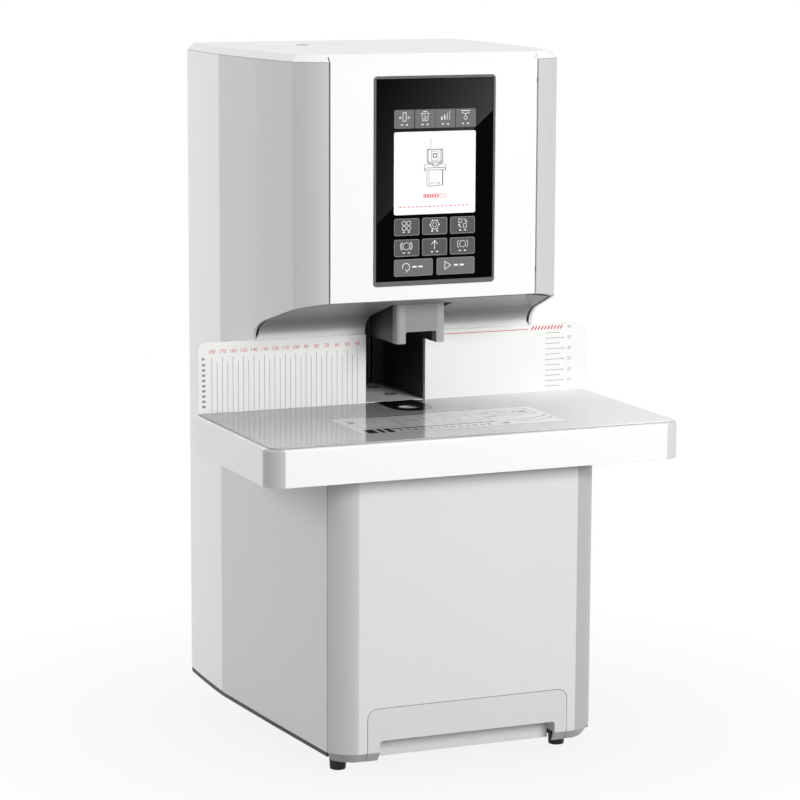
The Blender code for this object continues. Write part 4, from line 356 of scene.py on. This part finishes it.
def lay(name, body, material, shapes, level, flat=False):
    """Puts flat shapes, in millimetres, on an upright face at that depth or on a level one at that
    height: all points in one array, each shape's faces counted on from the last."""
    counts = np.cumsum([0] + [len(points) for points, _ in shapes])
    drawn = np.vstack([points for points, _ in shapes]) / 1000
    depth = np.full(len(drawn), level / 1000)
    columns = (drawn[:, 0], drawn[:, 1], depth) if flat else (drawn[:, 0], depth, drawn[:, 1])
    faces = [np.add(list(face), shift) for (_, part), shift in zip(shapes, counts) for face in part]
    piece = surface(name, np.column_stack(columns), faces, material)
    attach(piece, body)


LIT_SKIN = ((0.1, 0.16), 0.000002, 0.001)
LIT_GLOSS = 0.15
lit_white = finish("lit_white_field", "#FBFBFB", "#F7F7F7", 0.03, *LIT_SKIN, Specular_IOR_Level=LIT_GLOSS)
lit_grey = finish("lit_grey_cell", "#747475", "#6C6C6D", 0.02, *LIT_SKIN, Specular_IOR_Level=LIT_GLOSS)
key_grey = finish("key_face_grey", "#5A5A5B", "#545455", 0.02, *LIT_SKIN, Specular_IOR_Level=LIT_GLOSS)
key_rim = finish("key_rim_grey", "#8E8E8F", "#868687", 0.02, *LIT_SKIN, Specular_IOR_Level=LIT_GLOSS)
drawn_grey = finish("drawn_grey_line", "#323233", "#2A2A2B", 0.01, *LIT_SKIN, Specular_IOR_Level=LIT_GLOSS)
drawn_red = finish("drawn_red_line", "#EE5A55", "#E64F4B", 0.01, *LIT_SKIN, Specular_IOR_Level=LIT_GLOSS)

GLASS_Y = -83.5
LAYER = 0.05


def show(name, material, shapes, layer):
    """Lays shapes on the display's face, that many layers in front of it."""
    lay(name, "door", material, shapes, GLASS_Y - layer * LAYER)


strip = [tablet((-39, 557.2), (39, 573.5), 1.8)]
show("status_strip", lit_grey, strip, 1)
dividers = [ribbon([(x, 557.3), (x, 573.4)], width) for x, width in ((-19.6, 0.9), (0.2, 0.3), (19.5, 0.6))]
show("strip_dividers", drawn_grey, dividers, 2)
show("white_field", lit_white, [tablet((-39, 481.7), (39, 554.2), 1.8)], 1)

KEY_WIDE, KEY_HIGH = 24, 15
keys = [((x, z), (x + KEY_WIDE, z + KEY_HIGH)) for z in (463.5, 445.1) for x in (-38.6, -11.9, 14.8)]
keys += [((x0, 427.6), (x1, 442.6)) for x0, x1 in ((-38.6, -1.6), (2.1, 38.8))]
show("key_rims", key_rim, [tablet(low, high, 1.6) for low, high in keys], 1)
faces = [tablet(np.add(low, 0.6), np.subtract(high, 0.6), 1.2) for low, high in keys]
show("key_faces", key_grey, faces[:6], 2)
show("wide_key_faces", lit_grey, faces[6:], 2)

icons = [
    ribbon([(-30.7, 563.6), (-27.7, 563.6), (-27.7, 571), (-30.7, 571)], 0.45, True),
    ribbon([(-34.2, 566.6), (-31.6, 566.6)], 0.45),
    ribbon([(-26.8, 566.6), (-24.2, 566.6)], 0.45),
    ribbon([(-33, 567.6), (-34.2, 566.6), (-33, 565.6)], 0.45),
    ribbon([(-25.4, 567.6), (-24.2, 566.6), (-25.4, 565.6)], 0.45),
    ribbon([(-14, 570.1), (-5.4, 570.1)], 0.45),
    ribbon([(-11.6, 571.7), (-7.8, 571.7)], 0.65),
    ribbon([(-12.8, 569.4), (-12, 563.6), (-7.4, 563.6), (-6.6, 569.4)], 0.45),
    ribbon([(-11, 568.6), (-8.4, 567), (-11, 565.4), (-8.4, 564.4)], 0.4),
    ribbon([(6.2, 564), (6.2, 567)], 1.1),
    ribbon([(9, 564), (9, 568.4)], 1),
    ribbon([(11.4, 564), (11.4, 570)], 0.4),
    ribbon([(13.6, 564), (13.6, 571.6)], 0.4),
    ribbon([(24.6, 571.6), (33.4, 571.6)], 0.65),
    ribbon([(25, 570), (28, 569.2), (30, 569.2), (33, 570)], 0.4),
    ribbon([(29, 569.4), (29, 567.4)], 0.65),
    ribbon(bow((29, 565.4), 1.5), 0.4, True),
    *(ribbon([(x + d - 1, 560.4), (x + d + 1, 560.4)], 0.9)
      for x in (-29.2, -9.7, 9.8, 29) for d in (-2.4, 2.4)),
    *(ribbon(bow((x, z), 1.9), 0.4, True) for x in (-29.2, -24.8) for z in (470, 474.4)),
    ribbon(bow((0, 472.2), 3.9, 0, 315), 0.45, True),
    ribbon(bow((0, 472.2), 1.9), 0.4, True),
    *(ribbon(4.5 * bow((0, 0), 1, a - 8, a + 8) + (0, 472.2), 0.65) for a in range(0, 360, 60)),
    ribbon([(23.2, 473.2), (26.2, 473.2), (26.2, 476.4), (23.2, 476.4)], 0.4, True),
    ribbon([(27.6, 468.8), (30.6, 468.8), (30.6, 472), (27.6, 472)], 0.4, True),
    ribbon([(27.8, 476.2), (30, 475.6), (30.2, 473.6)], 0.4),
    ribbon([(29.2, 474.5), (30.2, 473.3), (31.2, 474.5)], 0.45),
    ribbon([(26, 469), (23.8, 469.6), (23.6, 471.6)], 0.4),
    ribbon([(22.6, 470.7), (23.6, 471.9), (24.6, 470.7)], 0.45),
    ribbon(bow((-27, 454.2), 3.1), 0.42, True),
    *(ribbon(bow((-27, 454.2), r, a - 42, a + 42), 0.4) for r in (4.6, 5.6) for a in (0, 180)),
    ribbon([(0, 450.6), (0, 458)], 0.55),
    ribbon([(-3, 455), (0, 458.2), (3, 455)], 0.55),
    ribbon(bow((27, 454.4), 2.9), 0.42, True),
    *(ribbon([(27 + s * 3.4, 457.6), (27 + s * 4.8, 456.8), (27 + s * 4.8, 452), (27 + s * 3.4, 451.2)], 0.4)
      for s in (-1, 1)),
    *(ribbon([(x + d - 1, z + 2.4), (x + d + 1, z + 2.4)], 0.9) for (x, z) in
      ((-27, 464.2), (0, 464.2), (27, 464.2), (-27, 446), (0, 446), (27, 446)) for d in (-2.4, 2.4)),
    ribbon(bow((-27.2, 435.6), 3.5, 200, -70), 0.55),
    ribbon([(-27.6, 433.6), (-26.2, 432.3), (-27.2, 430.6)], 0.45),
    *(ribbon([(x, 435.8), (x + 4, 435.8)], 1.4) for x in (-21, -15.4, 18.8, 24.4)),
    ribbon([(10, 432.2), (15.6, 435.8), (10, 439.4)], 0.55, True),
]
show("screen_icons", lit_white, icons, 3)

drawing = [
    ribbon([(-4, 538.4), (-4, 547.4)], 0.35),
    ribbon([(-7.4, 527.2), (7.4, 527.2), (7.4, 538.4), (-7.4, 538.4)], 0.6, True),
    ribbon([(-6.2, 527.2), (-6.2, 538.4)], 0.3),
    ribbon([(5, 527.2), (5, 538.4)], 0.3),
    ribbon([(6.2, 527.2), (6.2, 538.4)], 0.3),
    ribbon([(-3.4, 528.8), (3, 528.8), (3, 536.8), (-3.4, 536.8)], 0.35, True),
    ribbon([(-1.8, 531.4), (1.4, 531.4), (1.4, 534.6), (-1.8, 534.6)], 0.7, True),
    ribbon([(-7, 526), (-2, 526), (-2, 523.8), (3.2, 523.8), (3.2, 526), (7, 526)], 0.5),
    ribbon([(-10.2, 520.6), (-10.2, 525), (10.2, 525.4), (10.2, 521)], 0.35),
    ribbon([(-10.2, 520.6), (-8.6, 522.2), (9, 522.4), (10.2, 521)], 0.45),
    ribbon([(-10.2, 518.6), (-10.2, 520.6), (-8.4, 520.4), (8.6, 520.4), (10.2, 521), (10.2, 519)], 0.4),
    ribbon([(-7.6, 519.8), (-7.6, 507.6), (-6.4, 506.2), (7.2, 506.8)], 0.4),
    ribbon([(7.4, 520), (7.4, 507)], 0.8),
    ribbon([(-5.6, 519.8), (-5.6, 507)], 0.3),
    ribbon([(-4.6, 507), (-4.2, 508.8), (4.2, 509), (4.6, 507.2)], 0.35),
]
show("machine_drawing", drawn_grey, drawing, 2)

progress = [
    ribbon([(-10.6, 496.3), (10.6, 496.3), (10.6, 499.1), (-10.6, 499.1)], 0.4, True),
    *(ribbon([(x, 496.8), (x, 498.6)], 1.5) for x in np.arange(-9, 4, 2.4)),
    *(ribbon([(x, 488.6), (x + 2.4, 488.6)], 0.7) for x in np.arange(-34, 33, 4)),
]
show("progress_marks", drawn_red, progress, 2)


# The worktable's top is a thin grey acrylic sheet with a polished face, which mirrors the backstop
# plates. It is painted darker towards the back as painted shade under the head, and paler towards the
# right as painted light and reflection. The black pad plate is let into it, and the cutting pad under the
# drill is cast nylon, dull and off-white.
def faded(material, code, direction, low, high):
    """A second colour that takes over from the first along a direction: its share grows from none to
    all as the dot product of the point and direction goes from low to high."""
    tree = material.node_tree
    shader = tree.nodes["Principled BSDF"]
    first = shader.inputs["Base Color"].links[0].from_node
    place = add(tree, "ShaderNodeTexCoord")
    reach = add(tree, "ShaderNodeVectorMath", {0: (place, "Object")}, operation="DOT_PRODUCT", _1=direction)
    share = add(tree, "ShaderNodeMapRange", {0: (reach, "Value")}, From_Min=low, From_Max=high)
    both = add(tree, "ShaderNodeMix", {0: (share, 0), 6: (first, 2)}, data_type="RGBA", _7=linear(code))
    tree.links.new(both.outputs[2], shader.inputs["Base Color"])


ACRYLIC_EDGE = 0.0003
sheet = finish("polished_grey_acrylic", "#BABABC", "#B6B6B8", 0.06, (0.05, 0.08), 0.000003, 0.004, IOR=1.5)
# Painted shade towards the back, then painted light and reflection towards the right.
faded(sheet, "#919193", (0, 1, 0), -0.16, -0.05)
faded(sheet, "#EFEFF1", (1, 0, 0), 0.005, 0.14)
dress(sheet, ACRYLIC_EDGE, "table_sheet")
pad = finish("polished_black_acrylic", "#1E1E1F", "#19191A", 0.02, (0.05, 0.09), 0.000003, 0.003, IOR=1.5)
dress(pad, ACRYLIC_EDGE, "drill_pad_plate")
nylon = finish("cast_natural_nylon", "#D6D6D4", "#C8C8C6", 0.004, (0.4, 0.5), 0.00003, 0.0008, IOR=1.53)
dress(nylon, 0.0005, "cutting_pad")


# The operating label on the table is a foil in front of the pad, printed pale with thin line
# pictograms: a stack of paper, its holes, the rivet and the way it is pushed in.
foil = finish("pale_printed_foil", "#C8C8CA", "#C4C4C6", 0.03, (0.06, 0.1), 0.000003, 0.003, IOR=1.5)
# The foil is painted paler towards the right, the same painted light as on the sheet.
faded(foil, "#FCFCFD", (1, 0, 0), -0.03, 0.08)
foil_line = finish("grey_printed_line", "#9A9A9C", "#929294", 0.01, (0.08, 0.12), 0.000002, 0.002, IOR=1.5)
foil_dark = finish("dark_printed_line", "#3A3A3C", "#323234", 0.01, (0.08, 0.12), 0.000002, 0.002, IOR=1.5)
TABLE_Z = 301.5
label = [tablet((-93, -147), (100, -68.5), 3)]
lay("table_label", "machine", foil, label, TABLE_Z + LAYER, True)
pictures = [
    ribbon([(40, -145), (40, -70)], 0.7),
    ribbon([(-84, -80), (-44, -80), (-44, -120), (-84, -120)], 0.8, True),
    ribbon([(-82, -123), (-41, -123), (-41, -84)], 0.8),
    ribbon(bow((-64, -92), 4), 1, True),
    ribbon([(-36, -98), (-22, -98)], 1.6),
    ribbon([(-27, -92), (-22, -98), (-27, -104)], 0.9),
    ribbon([(-14, -80), (30, -80), (30, -120), (-14, -120)], 0.8, True),
    ribbon([(-14, -92), (30, -92)], 1.2),
    ribbon(bow((8, -86), 3), 0.8, True),
    ribbon(bow((8, -106), 7), 0.9, True),
    ribbon([(52, -78), (92, -78), (92, -104), (52, -104)], 0.8, True),
    ribbon([(56, -82), (88, -100)], 1),
    ribbon(bow((62, -93), 4), 0.9, True),
    ribbon(bow((78, -89), 3), 0.9, True),
    ribbon([(50, -128), (72, -127), (88, -120), (97, -112)], 1.6),
    ribbon([(58, -136), (78, -135), (92, -129), (97, -124)], 1.6),
    *(tablet((x, -144), (x + 4, -136), 0.5) for x in range(-57, 32, 7)),
]
lay("label_pictures", "machine", foil_line, pictures, TABLE_Z + 2 * LAYER, True)
dark_marks = [
    ribbon([(-60, -70.5), (-2, -70.5)], 2.4),
    ribbon([(-60.5, -131), (38.6, -129)], 3.4),
    *(tablet((low, -146), (high, -128), 0.4) for low, high in ((-87, -77.5), (-75, -70.5), (-68, -62))),
    *(tablet((x - 3.2, y - 3), (x + 3.2, y + 3), 1)
      for x, y in ((-81.6, -91.4), (84.4, -89.5), (45.9, -138.9))),
    *(ribbon([(41.5, y), (50, y)], 2.2) for y in (-90, -106)),
]
lay("label_dark_marks", "machine", foil_dark, dark_marks, TABLE_Z + 2 * LAYER, True)


# The two backstop plates are steel, powder coated off-white and screen printed: a millimetre scale for
# the hole's distance on the left one, and a height scale with a red limit line on the right one, with
# plain bars and strokes beside them.
coated = finish("off_white_powder_coat", "#F4F4F2", "#F0F0EE", 0.05, (0.3, 0.36), 0.00001, 0.0015, IOR=1.5)
dress(coated, 0.0004, "left_backstop_plate", "right_backstop_plate")
band_ink = finish("pale_grey_screen_ink", "#F4F4F2", "#F0F0EE", 0.03, (0.3, 0.36), 0.000005, 0.001, IOR=1.5)
grey_ink = finish("grey_screen_ink", "#9A9A9A", "#909090", 0.01, (0.35, 0.45), 0.000005, 0.001, IOR=1.5)
red_ink = finish("red_screen_ink", "#D8606A", "#CF555F", 0.01, (0.35, 0.45), 0.000005, 0.001, IOR=1.5)
PLATE_Y = 3.1
PRINT_FOOT = 301.8
RULER_ZERO = 2.3


def screen_print(name, material, shapes, layer):
    """Lays shapes on the backstop plates' face, that many layers in front of it."""
    lay(name, "machine", material, shapes, PLATE_Y - layer * LAYER)


screen_print("left_band", band_ink, [tablet((-190.4, PRINT_FOOT), (-29.8, 328.5), 0.3)], 1)
ruler = [ribbon([(RULER_ZERO - x, PRINT_FOOT), (RULER_ZERO - x, 351.5 if x % 10 == 0 else 347.5)], 0.42)
         for x in range(40, 181, 5)]
screen_print("ruler_lines", grey_ink, ruler, 2)
heights = [ribbon([(151.5, TABLE_Z + h), (171.5 if h % 10 == 0 else 166.5, TABLE_Z + h)], 0.5)
           for h in range(5, 60, 5)]
screen_print("height_lines", grey_ink, heights, 1)
limit = [ribbon([(29.8, 360.9), (133.5, 360.9)], 0.7)]
limit += [ribbon([(x, 359.9), (x + 2.2, 363.4)], 1.3) for x in np.arange(137, 170, 3.3)]
screen_print("limit_line", red_ink, limit, 1)
side_marks = [(np.array([(-187, 348.6), (-187, 352.2), (-183.6, 350.4)]), [(0, 1, 2)])]
side_marks += [tablet((-187, z - 1.1), (-183.8, z + 1.1), 0.3) for z in np.arange(307.5, 346, 4.7)]
screen_print("side_marks", grey_ink, side_marks, 2)


def numerals(name, material, labels, size):
    """Printed numbers as one flat mesh: each label's outline is a text made a mesh, centred on its
    place, and all their points go into one array."""
    shapes = []
    for label, middle in labels:
        text = bpy.data.curves.new(name, "FONT")
        text.body = label
        text.size = size
        text.resolution_u = 3
        text.align_x = "CENTER"
        text.align_y = "CENTER"
        holder = bpy.data.objects.new(name, text)
        bpy.context.scene.collection.objects.link(holder)
        bpy.context.view_layer.update()
        shaped = holder.evaluated_get(bpy.context.evaluated_depsgraph_get())
        mesh = bpy.data.meshes.new_from_object(shaped)
        flat = np.empty(3 * len(mesh.vertices))
        mesh.vertices.foreach_get("co", flat)
        shapes.append((flat.reshape(-1, 3)[:, :2] + middle, [tuple(face.vertices) for face in mesh.polygons]))
        bpy.data.objects.remove(holder)
    screen_print(name, material, shapes, 1)


numerals("ruler_numbers", red_ink, [(str(x), (RULER_ZERO - x, 356.6)) for x in range(40, 181, 10)], 4.7)
numerals("height_numbers", grey_ink, [(str(h), (176, TABLE_Z + h)) for h in range(10, 61, 10)], 4.1)


# The recess behind the plates is lined with matt black ABS, and its floor is a grey painted steel
# plate on two zinc-plated button-head screws. Black ABS is also the tube's inlet guide, the mains inlet
# and the rocker.
black_abs = finish("moulded_black_abs", "#2C2C2D", "#262627", 0.03, (0.38, 0.5), 0.00003, 0.0012, IOR=1.53)
dress(black_abs, 0.0004, "recess_liner", "tube_inlet_guide", "power_inlet", "power_rocker")
floor_paint = finish("grey_painted_steel", "#E8E8EA", "#DEDEE0", 0.02, (0.28, 0.4), 0.00002, 0.0015, IOR=1.5)
dress(floor_paint, 0.0003, "recess_floor_plate")


def button_heads(name, body, material, spots, radius, height):
    """Button-head screws: an arc turned round each axis, down into a six-sided socket. Row by row the
    radius and height follow the profile, and the socket's rows are bent to a hexagon by the cosine of
    the angle from the middle of its side."""
    sides = 24
    angles = np.linspace(0, 2 * np.pi, sides, endpoint=False)
    hexagon = np.cos(np.pi / 6) / np.cos((angles % (np.pi / 3)) - np.pi / 6)
    spread = np.array([1, 1, 0.94, 0.78, 0.58, 0.5, 0.5, 0])[:, None]
    lift = np.array([0, 0.3, 0.62, 0.88, 1, 1, 0.35, 0.3])[:, None]
    across = radius * spread * np.where(np.arange(8)[:, None] >= 5, hexagon, 1)
    raised = height * lift * np.ones(sides)
    head = np.stack([across * np.cos(angles), across * np.sin(angles), raised], axis=-1).reshape(-1, 3)
    row, column = (part.ravel() for part in np.mgrid[0:7, 0:sides])
    after = (column + 1) % sides
    ends = (column, after, after + sides, column + sides)
    faces = np.column_stack([row * sides + end for end in ends])
    faces = np.vstack([faces + len(head) * i for i in range(len(spots))])
    piece = surface(name, np.vstack([head + spot for spot in spots]) / 1000, faces, material)
    weld = piece.modifiers.new("join", "WELD")
    weld.merge_threshold = 0.000001
    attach(piece, body)


zinc = finish("dull_zinc_plate", "#8F9194", "#808286", 0.004, (0.4, 0.5), 0.00001, 0.0005, Metallic=0.6)
button_heads("recess_floor_screws", "machine", zinc, [(11, 40.5, TABLE_Z), (11, 83, TABLE_Z)], 6, 1)


# The presser foot is a milled aluminium block in grey enamel, with painted highlights along its upright
# edges, and dark behind its face. The fork behind it and the frame are welded steel in black powder coat.
enamel = finish("satin_grey_enamel", "#929294", "#8A8A8C", 0.03, (0.3, 0.4), 0.00001, 0.002, IOR=1.5)
FOOT_HALF, FOOT_FACE = 0.0155, 0.0455
# Painted highlight along the foot's upright edges.
tone(enamel, "#A0A0A2", (1, 0, 0), FOOT_HALF)
tone(enamel, "#A0A0A2", (-1, 0, 0), FOOT_HALF)
tone(enamel, "#3A3A3C", (0, 1, 0), -FOOT_FACE)
dress(enamel, 0.0012, "presser_foot")
powder = finish("black_powder_coat", "#1B1B1D", "#141416", 0.03, (0.4, 0.5), 0.00005, 0.0018, IOR=1.5)
dress(powder, 0.0005, "base_plate", "column_frame", "presser_fork", "chip_chute")


# The lift's guide rods, the hinge pin, spindle, drill, quill and cutter blade are ground steel, and the
# presser's rods and screw are blackened. The two lead screws have rolled threads, 2 mm apart, drawn as a
# helical ridge round each axis.
steel = finish("ground_steel", "#C3C4C7", "#A9ABAF", 0.006, (0.22, 0.34), 0.000008, 0.0004, Metallic=1)
dress(steel, 0.0003, "door_hinge_pin", "drill_spindle", "drill_bit", "rivet_quill", "lift_rod_front",
      "lift_rod_rear", "cutter_blade")
blackened = finish("blackened_steel", "#1C1C1E", "#141416", 0.006, (0.35, 0.5), 0.000008, 0.0004, IOR=1.5)
dress(blackened, 0.0003, "presser_rod_left", "presser_rod_right")
THREAD_PITCH = 0.002
for name, axis, light, dark in (
    ("presser_screw", (0, 0.114, 0), "#2A2A2C", "#1E1E20"),
    ("lift_screw", (0.108, 0.0556, 0), "#B6B7BA", "#9C9EA2"),
):
    threaded = finish("rolled_thread_of_" + name, light, dark, 0.006, (0.25, 0.35), 0.000008, 0.0004,
                      Metallic=1)
    tree = threaded.node_tree
    place = add(tree, "ShaderNodeTexCoord")
    centred = add(tree, "ShaderNodeVectorMath", {0: (place, "Object")}, operation="SUBTRACT", _1=axis)
    parts = add(tree, "ShaderNodeSeparateXYZ", {0: (centred, 0)})
    turn = add(tree, "ShaderNodeMath", {0: (parts, "Y"), 1: (parts, "X")}, operation="ARCTAN2")
    along = add(tree, "ShaderNodeMath", {0: (parts, "Z")}, operation="MULTIPLY",
                _1=2 * math.pi / THREAD_PITCH)
    phase = add(tree, "ShaderNodeMath", {0: (along, 0), 1: (turn, 0)}, operation="ADD")
    ridge = add(tree, "ShaderNodeMath", {0: (phase, 0)}, operation="SINE")
    relief = add(tree, "ShaderNodeBump", {"Height": (ridge, 0)}, Strength=1, Distance=0.0004)
    tree.links.new(relief.outputs[0], tree.nodes["Principled BSDF"].inputs["Normal"])
    dress(threaded, 0.0003, name)


# The lift carriage, turret arm, pulley, wheel, feeder frame and shuttle are milled from aluminium, and
# the power supply is in a folded aluminium case. The tool left fine marks about a millimetre apart.
milled = finish("milled_aluminium", "#CDCED1", "#BABCC0", 0.015, (0.28, 0.42), 0.00001, 0.001, Metallic=1)
dress(milled, 0.0004, "turret_arm", "drill_drive_pulley", "lift_carriage", "turret_drive_wheel",
      "feeder_frame", "lower_shuttle", "power_supply")


# The motors, the solenoid and the actuator have dark painted steel cases with a satin face. The dies are
# turned from brass, the only warm colour inside.
motor_paint = finish("dark_painted_case", "#2A2B2D", "#202123", 0.02, (0.35, 0.45), 0.00002, 0.0015, IOR=1.5)
dress(motor_paint, 0.0006, "presser_motor", "drill_motor", "lift_motor", "turret_motor", "cutter_solenoid",
      "shuttle_actuator")
brass = finish("turned_brass", "#C9A24E", "#B58C3B", 0.004, (0.2, 0.3), 0.000006, 0.0004, Metallic=1)
dress(brass, 0.0003, "upper_rivet_die", "lower_rivet_die")


# Feet, feed rollers and the drill's belt are black rubber, moulded with a dull, slightly dusty skin that
# mirrors nothing.
rubber = finish("moulded_black_rubber", "#1A1A1A", "#101010", 0.01, (0.6, 0.75), 0.00004, 0.001, IOR=1.52)
dress(rubber, 0.0005, "foot_front_left", "foot_front_right", "foot_rear_left", "foot_rear_right",
      "drill_belt", "feed_roller_drive", "feed_roller_idler")


# The control board behind the display is glass-fibre laminate under green solder resist. Copper tracks
# show through it as paler lines 2.5 mm apart, up and down in some patches and across in others. Real
# ones are finer, and these are wide enough to show.
board = finish("green_solder_resist", "#1D5B33", "#154726", 0.01, (0.25, 0.35), 0.00001, 0.0012, IOR=1.55)
TRACK_PATCH, TRACK_PITCH = 0.014, 0.0025
tree = board.node_tree
resist = tree.nodes["Principled BSDF"].inputs["Base Color"].links[0].from_node
place = add(tree, "ShaderNodeTexCoord")
parts = add(tree, "ShaderNodeSeparateXYZ", {0: (place, "Object")})
patch = add(tree, "ShaderNodeTexVoronoi", {"Vector": (place, "Object")}, Scale=1 / TRACK_PATCH,
            distance="CHEBYCHEV")
lot = add(tree, "ShaderNodeSeparateColor", {0: (patch, "Color")})
for letter, low in (("X", 0.5), ("Z", 0)):
    turn = add(tree, "ShaderNodeMath", {0: (parts, letter)}, operation="MULTIPLY",
               _1=2 * math.pi / TRACK_PITCH)
    wave = add(tree, "ShaderNodeMath", {0: (turn, 0)}, operation="SINE")
    line = add(tree, "ShaderNodeMath", {0: (wave, 0)}, operation="GREATER_THAN", _1=0.72)
    above_low = add(tree, "ShaderNodeMath", {0: (lot, "Red")}, operation="GREATER_THAN", _1=low)
    under_high = add(tree, "ShaderNodeMath", {0: (lot, "Red")}, operation="LESS_THAN", _1=low + 0.4)
    line = add(tree, "ShaderNodeMath", {0: (line, 0), 1: (above_low, 0)}, operation="MULTIPLY")
    line = add(tree, "ShaderNodeMath", {0: (line, 0), 1: (under_high, 0)}, operation="MULTIPLY")
    resist = add(tree, "ShaderNodeMix", {0: (line, 0), 6: (resist, 2)}, data_type="RGBA",
                 _7=linear("#3F8A55"))
tree.links.new(resist.outputs[2], tree.nodes["Principled BSDF"].inputs["Base Color"])
dress(board, 0.0003, "control_board")
